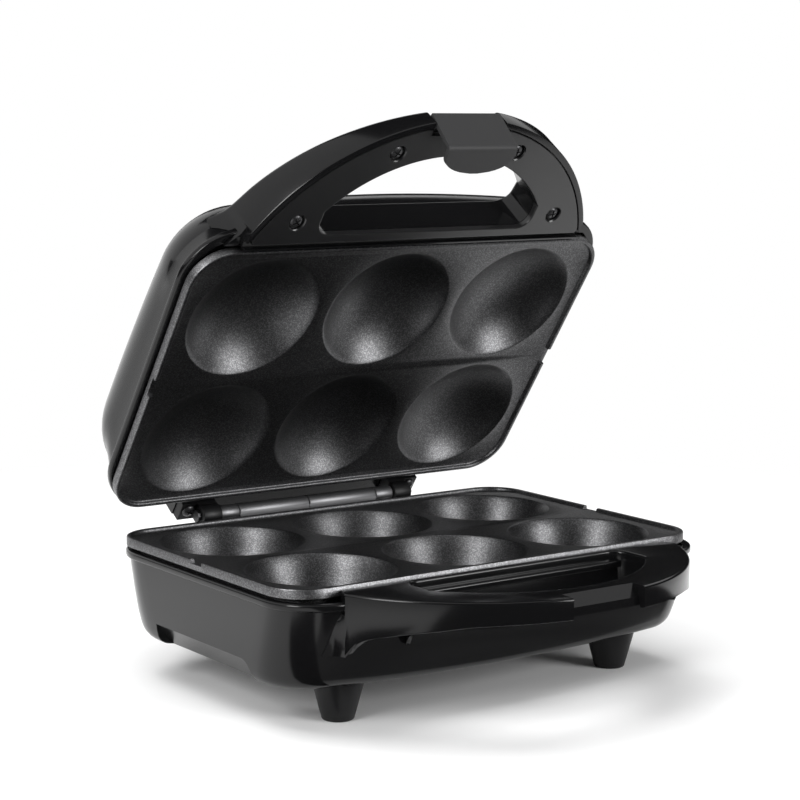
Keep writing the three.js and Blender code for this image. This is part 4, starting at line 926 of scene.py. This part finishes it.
# The lid handle is a gloss black half ring on the lid's front, thick at its roots, with a rim that
# stands round the cover let into its underside. The latch sits in a bay across its front.
cover_low = 64.6
cover_thickness = 2.8
lid_radius = 106.5
lid_tip_height = 9.2
lid_root_height = 25
lid_roof_start = 7
lid_opening_back = shell_plan["front"] - 3.6
cover_radius = 102.9
cover_back = shell_plan["front"] + 0.9
cover_root = sqrt(cover_radius ** 2 - (cover_back - handle_centre) ** 2) - bead_out
lid_handle_back = -79.4
lid_root = arc_root + 9
rise_share = eased([(0, 1), (0.09, 0.9), (0.17, 0.79), (0.31, 0.71), (0.45, 0.61), (0.66, 0.42), (0.83, 0.22),
                    (1, 0)])
rise_reach = lid_radius - root_drop + lid_roof_start


def lid_handle_top(y, drop=0.0):
    """The height of the lid handle's back, which rises towards the lid."""
    out = (root_line + lid_roof_start - y) / rise_reach
    return cover_low + lid_tip_height + rise_share(out) * (lid_root_height - lid_tip_height) - drop


def lid_outer(inset, height):
    """The lid handle's outer outline, drawn in by inset."""
    return at_height(half_ring(lid_radius, lid_handle_back, lid_root, inset), height)


def lid_inner(grow, height):
    """The outline of the lid handle's hand opening, grown."""
    return at_height(hand_opening(grow, lid_opening_back), height)


def span(right, inner, outer):
    """Both ends of a length along X, the lower first, on the side that right tells."""
    return sorted((right * inner, right * outer))


def between(outer, inner, share, height):
    """A row of points part of the way from one outline to the other, at a height that follows y."""
    row = [(a.x + (b.x - a.x) * share, a.y + (b.y - a.y) * share) for a, b in zip(outer, inner)]
    return at_height(row, height)


seat_top = cover_low + cover_thickness + gap
rim_width = lid_radius - cover_radius - gap
edge_round = 2.4
opening_round = 1.6
outer_edge = lid_outer(edge_round, lid_handle_top)
inner_edge = lid_inner(opening_round, lid_handle_top)
lid_handle_rings = [
    lid_outer(rim_width, seat_top),
    lid_outer(rim_width, cover_low + 0.4),
    lid_outer(rim_width - 0.4, cover_low),
    *[lid_outer(inset, cover_low + up) for inset, up in low_round],
    *[lid_outer(inset, lambda y, drop=-up: lid_handle_top(y, drop))
      for inset, up in rounded((0, -edge_round), (edge_round, 0), (0, 0), 6)],
    *[between(outer_edge, inner_edge, share, lid_handle_top) for share in (0.12, 0.25, 0.4, 0.55, 0.7, 0.85)],
    *[lid_inner(inset, lambda y, drop=-up: lid_handle_top(y, drop))
      for inset, up in reversed(rounded((0, -opening_round), (opening_round, 0), (0, 0), 5))],
    lid_inner(0, seat_top),
]
latch_front = -150.35
latch_hinge_y = -145.55
latch_hinge_z = 68.8
barrel_radius = 2.6
latch_bay = block((-notch_half_width, latch_front - overrun, cover_low - overrun),
                  (notch_half_width, latch_hinge_y + barrel_radius + 0.8, lid_edge_top))
root_tip_half_width = 96.4
root_tip_top = 69.4
root_cuts = []
for right in (-1, 1):
    inner, outer = span(right, root_tip_half_width, lid_root + overrun)
    root_cuts.append(block((inner, -lid_radius, cover_low - overrun), (outer, handle_centre, root_tip_top)))
lid_handle = carved(skin(lid_handle_rings, around=True), [
    ("DIFFERENCE", tool) for tool in (latch_bay, skin(lid_rings(gap)), *root_cuts)])
settle("lid_grip", lid_handle, gloss_black, "lid", ["lid_handle"])


# The handle cover is a flat satin black moulding that closes the lid handle's underside. Four screws
# in round sinks hold it, and it is cut away at the front for the latch.
satin_grip = surface(
    "satin_grip", ((0.006, 0.006, 0.0063), (0.011, 0.011, 0.0115)), (0.26, 0.34), 0.4, 0.006, specular=0.55)
cover_edge = 0.45


def cover_outer(inset, height):
    """The cover's outer outline, drawn in by inset."""
    return at_height(half_ring(cover_radius, cover_back, cover_root, inset), height)


cover_screw_spots = [(radians(21.4), cover_radius - 8.7), (radians(55.8), cover_radius - 13.2)]
cover_screw_places = [(right * reach * sin(angle), handle_centre - reach * cos(angle))
                      for right in (-1, 1) for angle, reach in cover_screw_spots]
sink_radius = 4
sink_depth = 1.9
sink_edge = 0.5
sink_skim = 0.001
cover_rings = [
    cover_outer(cover_edge, cover_low), cover_outer(cover_edge * 0.3, cover_low + cover_edge * 0.3),
    cover_outer(0, cover_low + cover_edge), cover_outer(0, cover_low + cover_thickness),
    lid_inner(0, cover_low + cover_thickness), lid_inner(0, cover_low + cover_edge),
    lid_inner(cover_edge * 0.3, cover_low + cover_edge * 0.3), lid_inner(cover_edge, cover_low),
]
sink_line = [
    (0, cover_low - overrun), (sink_radius + sink_edge, cover_low - overrun),
    (sink_radius + sink_edge, cover_low - sink_skim), (sink_radius, cover_low + sink_edge),
    (sink_radius, cover_low + sink_depth), (0, cover_low + sink_depth),
]
sinks = [turned(sink_line, 48, "Z", (x, y, 0)) for x, y in cover_screw_places]
handle_cover = carved(skin(cover_rings, around=True), [("DIFFERENCE", tool) for tool in (latch_bay, *sinks)])
settle("grip_cover", handle_cover, satin_grip, "lid", ["handle_cover"], crease=14)


# The latch is a matt grey clip: a leaning front plate on two knuckles, folded at its foot into a
# half-round hook that snaps under the base handle. A steel pin carries it and a spring holds it in.
matt_grey = surface(
    "matt_grey", ((0.021, 0.021, 0.0215), (0.034, 0.034, 0.035)), (0.5, 0.6), 0.4, 0.012, specular=0.35)
latch_half_width = 19.4
latch_thickness = 2.2
latch_hang = 20.4
latch_lean = 4.2
latch_top = cover_low + 6.4
hook_reach = 15
hook_edge = 6
fold_radius = 1.6
hook_tip_share = 0.012
plate_rows = 10
fold_rows = 5
hook_rows = 14
latch_columns = 24


def latch_sheet():
    """The clip's sheet as a grid: down the front plate, round the fold and along the half-round hook."""
    half = latch_thickness / 2
    fold_y = latch_front + latch_lean
    plate = [(latch_front + half + latch_lean * t, latch_top - (latch_hang - half - fold_radius) * t)
             for t in spread(0, 1, plate_rows)]
    start_y, start_z = plate[-1]
    fold = [(start_y + fold_radius * (1 - cos(a)), start_z - fold_radius * sin(a))
            for a in spread(0, pi / 2, fold_rows)[1:]]
    flat_y, flat_z = fold[-1]
    hook = [(y, flat_z) for y in spread(flat_y, fold_y + hook_reach, hook_rows)[1:]]
    widths = [latch_half_width] * len(plate + fold)
    for y, _ in hook:
        past = max((y - fold_y - hook_edge) / (hook_reach - hook_edge), 0)
        widths.append(latch_half_width * sqrt(max(1 - past ** 2, hook_tip_share)))
    return [[Vector((x, y, z)) for x in spread(-width, width, latch_columns)]
            for width, (y, z) in zip(widths, plate + fold + hook)]


latch_grid = latch_sheet()
row_points = latch_columns + 1
corners = [k * row_points + i for k in range(len(latch_grid) - 1) for i in range(latch_columns)]
latch_draft = as_object((
    [point for row in latch_grid for point in row],
    [(corner, corner + 1, corner + row_points + 1, corner + row_points) for corner in corners]))
thicken = latch_draft.modifiers.new("thicken", "SOLIDIFY")
thicken.thickness = latch_thickness - 0.2
thicken.offset = 0
soften = latch_draft.modifiers.new("soften", "BEVEL")
soften.width = 0.45
soften.segments = 3
soften.limit_method = "ANGLE"
soften.angle_limit = radians(50)
bpy.context.view_layer.update()
latch_plate = baked(latch_draft)
knuckle_inner = 7
knuckle_spans = [span(right, knuckle_inner, latch_half_width) for right in (-1, 1)]
knuckle_bore = 1.3
knuckle_round = 0.4
knuckles = [turned([
    (knuckle_bore, low), (barrel_radius - knuckle_round, low), (barrel_radius, low + knuckle_round),
    (barrel_radius, high - knuckle_round), (barrel_radius - knuckle_round, high), (knuckle_bore, high),
], 40, "X", (0, latch_hinge_y, latch_hinge_z), around=True)
    for low, high in knuckle_spans]


def merged(meshes):
    """One mesh out of several."""
    work = bmesh.new()
    for mesh in meshes:
        work.from_mesh(mesh)
    whole = bpy.data.meshes.new("whole")
    work.to_mesh(whole)
    work.free()
    return whole


web_inset = 0.2
web_front, web_back = latch_front + 1.5, latch_hinge_y - 0.8
web_low, web_high = latch_hinge_z - 1, latch_hinge_z + 1.4
webs = [block((low + web_inset, web_front, web_low), (high - web_inset, web_back, web_high))
        for low, high in knuckle_spans]
latch_clip = merged([latch_plate, *[solid(shape) for shape in knuckles + webs]])
settle("latch", latch_clip, matt_grey, "latch", ["latch_clip"])


# Four conical feet of satin black rubbery plastic stand under the tub, each hollow underneath round
# the screw that holds it up into its boss.
satin_black = surface(
    "satin_black", ((0.006, 0.006, 0.0065), (0.011, 0.011, 0.0115)), (0.36, 0.46), 0.5, 0.008, specular=0.28)
foot_line = [
    (2.3, 8), (4.2, 8), (4.2, 0.5), (4.6, 0), (6.3, 0), (7.0, 0.2), (7.35, 0.6), (7.5, 1.2),
    (8.8, 6), (10.1, 11), (11.3, 15.5), (11.8, foot_height - 0.1), (2.3, foot_height - 0.1),
]
foot_y = 57.65
front_foot_x = 79.67
rear_foot_x = 60.07
foot_places = {
    "front_left": (-front_foot_x, -foot_y), "front_right": (front_foot_x, -foot_y),
    "rear_left": (-rear_foot_x, foot_y), "rear_right": (rear_foot_x, foot_y),
}
for name, (x, y) in foot_places.items():
    foot = solid(turned(foot_line, 64, "Z", (x, y, 0), around=True))
    settle(f"stand_{name}", foot, satin_black, "base", [f"foot_{name}"])


# The hinge has two long rolled steel leaves screwed to the tub's back, two short sleeves beside them,
# one rod through them all, and two black arms under the lid's hinge block.
satin_steel = surface(
    "satin_steel", ((0.19, 0.19, 0.195), (0.24, 0.24, 0.247)), (0.36, 0.48), 0.7, 0.01, metallic=0.9)
dark_steel = surface(
    "dark_steel", ((0.05, 0.05, 0.052), (0.1, 0.1, 0.102)), (0.3, 0.42), 0.6, 0.01, metallic=0.8)
sleeve_bore = 2.2
leaf_parting = 0.2
flap_length = 17
flap_thickness = 1.6
collar_inner = leaf_half_width + gap
collar_width = 10.6
arm_barrel_radius = 5.5
arm_barrel_width = 10.7
arm_top = arm_seat - gap
arm_low = arm_top - 4.7
arm_neck_low = hinge_z + 2
arm_neck_back = arm_back - 1.3


def sleeve(low, high, radius):
    """A short tube along the rod with rounded ends."""
    ease = 0.5
    start = [(sleeve_bore, low), (radius - ease, low), (radius - ease * 0.3, low + ease * 0.3),
             (radius, low + ease)]
    return turned(start + [(out, low + high - along) for out, along in reversed(start)],
                  64, "X", (0, hinge_y, hinge_z), around=True)


for side, right in (("left", -1), ("right", 1)):
    low, high = span(right, leaf_parting, leaf_half_width)
    flap_front = hinge_y - sleeve_radius
    flap = block((low, flap_front, hinge_z - flap_length), (high, flap_front + flap_thickness, hinge_z))
    leaf = merged([solid(sleeve(low, high, sleeve_radius)), solid(flap)])
    settle(f"leaf_{side}", leaf, satin_steel, "base", [f"hinge_leaf_{side}"])
    low, high = span(right, collar_inner, collar_inner + collar_width)
    settle(f"sleeve_{side}", solid(sleeve(low, high, sleeve_radius)), satin_steel, "lid",
           [f"hinge_collar_{side}"])
    low, high = span(right, arm_inner, arm_inner + arm_barrel_width)
    wide_low, wide_high = span(right, arm_inner, arm_outer)
    arm = carved(sleeve(low, high, arm_barrel_radius), [
        ("UNION", block((low, arm_front, arm_neck_low), (high, arm_neck_back, arm_top))),
        ("UNION", block((wide_low, arm_front, arm_low), (wide_high, arm_back, arm_top))),
    ])
    settle(f"arm_{side}", arm, satin_black, "lid", [f"hinge_arm_{side}"])


# The screws are dark plated steel with round heads and a cross recess. They hold the feet, the hinge
# leaves, the handle's cover and the arms, and each is turned in square to the face that it holds.
def screw_tree():
    """Geometry nodes that set one cross-head screw on each point, along the point's own facing."""
    tree = bpy.data.node_groups.new("cross_head_screws", "GeometryNodeTree")
    face = tree.interface
    face.new_socket("Geometry", in_out="INPUT", socket_type="NodeSocketGeometry")
    for name, value in (("Head radius", 3.4), ("Head height", 1.7), ("Shank radius", 1.8),
                        ("Shank length", 8), ("Slot length", 4.2), ("Slot width", 0.75), ("Slot depth", 1.3)):
        face.new_socket(name, in_out="INPUT", socket_type="NodeSocketFloat").default_value = value
    face.new_socket("Material", in_out="INPUT", socket_type="NodeSocketMaterial")
    face.new_socket("Geometry", in_out="OUTPUT", socket_type="NodeSocketGeometry")
    add = node_maker(tree)
    size = add("NodeGroupInput").outputs

    def vector(x, y, z):
        """A vector out of three values or sockets."""
        return add("ShaderNodeCombineXYZ", {0: x, 1: y, 2: z}).outputs[0]

    def scaled(source, factor):
        """A socket's value times a factor."""
        return add("ShaderNodeMath", {0: source, 1: factor}, operation="MULTIPLY").outputs[0]

    def lifted(shape, height):
        """A shape moved up by a height."""
        return add("GeometryNodeTransform", {
            "Geometry": shape.outputs["Mesh"], "Translation": vector(0, 0, height)}).outputs[0]

    ball = add("GeometryNodeMeshUVSphere", {"Segments": 40, "Rings": 20, "Radius": 1})
    head = add("GeometryNodeTransform", {
        "Geometry": ball.outputs["Mesh"],
        "Scale": vector(size["Head radius"], size["Head radius"], size["Head height"])})
    width = scaled(size["Head radius"], 3)
    lower_half = add("GeometryNodeMeshCube", {"Size": vector(width, width, scaled(size["Head height"], 2))})
    cuts = [lifted(lower_half, scaled(size["Head height"], -1))]
    for first, second in (("Slot length", "Slot width"), ("Slot width", "Slot length")):
        depth = scaled(size["Slot depth"], 2)
        bar = add("GeometryNodeMeshCube", {"Size": vector(size[first], size[second], depth)})
        cuts.append(lifted(bar, size["Head height"]))
    carve = add("GeometryNodeMeshBoolean", {"Mesh 1": head.outputs[0]},
                operation="DIFFERENCE", solver="EXACT")
    for cut in cuts:
        tree.links.new(cut, carve.inputs["Mesh 2"])
    shank = add("GeometryNodeMeshCylinder", {
        "Vertices": 32, "Radius": size["Shank radius"], "Depth": size["Shank length"]})
    whole = add("GeometryNodeJoinGeometry")
    for part in (carve.outputs["Mesh"], lifted(shank, scaled(size["Shank length"], -0.5))):
        tree.links.new(part, whole.inputs[0])
    facing = add("GeometryNodeInputNamedAttribute", {"Name": "facing"}, data_type="FLOAT_VECTOR")
    align = add("FunctionNodeAlignRotationToVector", {"Vector": facing.outputs["Attribute"]}, axis="Z")
    chance = add("FunctionNodeRandomValue", {2: 0, 3: pi / 2, "Seed": 7}, data_type="FLOAT")
    spin = add("FunctionNodeAxisAngleToRotation", {"Axis": (0, 0, 1), "Angle": chance.outputs[1]})
    turn = add("FunctionNodeRotateRotation", {
        "Rotation": align.outputs[0], "Rotate By": spin.outputs[0]}, rotation_space="LOCAL")
    points = add("GeometryNodeMeshToPoints", {"Mesh": size["Geometry"]})
    copies = add("GeometryNodeInstanceOnPoints", {
        "Points": points.outputs["Points"], "Instance": whole.outputs[0], "Rotation": turn.outputs[0]})
    real = add("GeometryNodeRealizeInstances", {"Geometry": copies.outputs["Instances"]})
    paint = add("GeometryNodeSetMaterial", {"Geometry": real.outputs[0], "Material": size["Material"]})
    add("NodeGroupOutput", {0: paint.outputs[0]})
    return tree


screws = screw_tree()


def screw_set(name, places, facing, body, nodes, **sizes):
    """Screws at several places, all facing one way, as one plain mesh."""
    mesh = bpy.data.meshes.new("points")
    mesh.from_pydata(places, [], [])
    attribute = mesh.attributes.new("facing", "FLOAT_VECTOR", "POINT")
    for value in attribute.data:
        value.vector = facing
    draft = placed("draft", mesh)
    modifier = draft.modifiers.new("screws", "NODES")
    modifier.node_group = screws
    wanted = {key.replace("_", " ").capitalize(): value for key, value in sizes.items()}
    for item in screws.interface.items_tree:
        if item.in_out == "INPUT" and item.name in wanted:
            modifier[item.identifier] = float(wanted[item.name])
        if item.in_out == "INPUT" and item.name == "Material":
            modifier[item.identifier] = dark_steel
    bpy.context.view_layer.update()
    settle(name, baked(draft), dark_steel, body, nodes)


down = (0, 0, -1)
foot_screw_height = 7.7
screw_set("foot_screws", [(x, y, foot_screw_height) for x, y in foot_places.values()], down, "base",
          [f"foot_screw_{name}" for name in foot_places], shank_length=19.8)
leaf_screw_places = {"left_outer": -31.7, "left_inner": -10, "right_inner": 10, "right_outer": 31.7}
leaf_screw_y = hinge_y - sleeve_radius + flap_thickness + gap
leaf_screw_z = hinge_z - 12.5
screw_set("leaf_screws", [(x, leaf_screw_y, leaf_screw_z) for x in leaf_screw_places.values()],
          (0, 1, 0), "base", [f"hinge_screw_{name}" for name in leaf_screw_places], shank_length=8)
screw_set("cover_screws", [(x, y, cover_low + sink_depth - gap) for x, y in cover_screw_places], down, "lid",
          [f"cover_screw_{side}_{i}" for side in ("left", "right") for i in (1, 2)], shank_length=6,
          head_radius=3.3, head_height=1.5)
arm_screw_x = 67.6
screw_set("arm_screws", [(x, hinge_y, arm_low - gap) for x in (-arm_screw_x, arm_screw_x)], down, "lid",
          ["arm_screw_left", "arm_screw_right"], shank_length=7)


# The gland in the tub's back wall guides the power cord. It is a ribbed rubber bush that is pushed
# through the wall, and the cord itself isn't part of the picture.
rubber = surface(
    "rubber", ((0.012, 0.012, 0.012), (0.022, 0.022, 0.022)), (0.62, 0.75), 0.5, 0.02, specular=0.3)
gland_line = [(3.6, 71), (4.7, 71), (4.7, 82.8), (7.6, 82.8), (8, 83.2), (8, 84), (7.4, 84.8), (6, 85.1),
              (5.4, 84.7), (4.8, 85.1), (4.1, 85.1), (3.6, 84.6)]
gland = solid(turned(gland_line, 64, "Y", (gland_right, 0, gland_z), around=True))
settle("cord_bush", gland, rubber, "base", ["cord_gland"])


# The lamps are two small clear lenses, red for power and green for ready, domed where they stand out
# of the lid's roof and held from below by their flanges.
def lens_finish(name, colour):
    """Tinted clear plastic with a faint swirl in it."""
    material, add = new_material(name)
    place = add("ShaderNodeTexCoord").outputs["Object"]
    swirl = add("ShaderNodeTexNoise", {"Vector": place, "Scale": 900}).outputs["Fac"]
    tone = mixed(add, swirl, (*colour, 1), (*[min(c * 1.6, 1) for c in colour], 1))
    relief = add("ShaderNodeBump", {"Height": swirl, "Distance": 0.004 * MM})
    shine = add("ShaderNodeMapRange", {"Value": swirl, "To Min": 0.06, "To Max": 0.16})
    shader = add("ShaderNodeBsdfPrincipled", {
        "Base Color": tone, "Transmission Weight": 0.35, "Roughness": shine.outputs["Result"],
        "Normal": relief.outputs["Normal"]})
    add("ShaderNodeOutputMaterial", {"Surface": shader.outputs[0]})
    return material


lens_tones = {"power_lens": ("red_lens", (0.45, 0.015, 0.01)),
              "ready_lens": ("green_lens", (0.02, 0.28, 0.05))}
flange_radius = 5.4
flange_drop = 2.3
flange_thickness = 0.9
dome_height = 1
dome_steps = 8
lens_pole = 0.05
for x, (node, (slot, colour)) in zip(lamp_places, lens_tones.items()):
    shell_top = roof(0)(x, lamp_y)
    flange_top = roof(wall + flange_drop)(x, lamp_y)
    flange_low = flange_top - flange_thickness
    dome = [(lens_radius * cos(a), shell_top + dome_height * sin(a))
            for a in spread(0, pi / 2, dome_steps)[:-1]]
    lens_line = [(lens_pole, flange_low), (flange_radius, flange_low), (flange_radius, flange_top),
                 (lens_radius, flange_top), *dome, (lens_pole, shell_top + dome_height)]
    lens = solid(turned(lens_line, 48, "Z", (x, lamp_y, 0)))
    settle(node.replace("_lens", "_lamp"), lens, lens_finish(slot, colour), "lid", [node])


# Inside are the working parts: the elements and their reflectors, the thermostat and its fuse, the
# terminal block, the wires, the rod, pins and hidden screws. They keep their shapes and get finishes.
inner_finishes = {
    "steel": satin_steel,
    "dark_steel": dark_steel,
    "bare_aluminium": surface(
        "bare_aluminium", ((0.6, 0.6, 0.61), (0.74, 0.74, 0.75)), (0.3, 0.42), 1.2, 0.01, metallic=1.0),
    "element_steel": surface(
        "element_steel", ((0.2, 0.185, 0.165), (0.34, 0.32, 0.29)), (0.42, 0.55), 0.8, 0.02, metallic=0.8),
    "ceramic": surface("ceramic", ((0.72, 0.69, 0.63), (0.82, 0.79, 0.73)), (0.5, 0.62), 0.6, 0.02),
    "wire_cover": surface("wire_cover", ((0.6, 0.58, 0.5), (0.76, 0.73, 0.65)), (0.6, 0.72), 0.8, 0.05),
}
slot_of = {part["node"]: part["material_slot"] for part in frame["record"]["subparts"]}
for node, obj in frame["nodes"].items():
    if slot_of[node] in inner_finishes:
        for holder in obj.material_slots:
            holder.material = dark_steel if node == "hinge_rod" else inner_finishes[slot_of[node]]
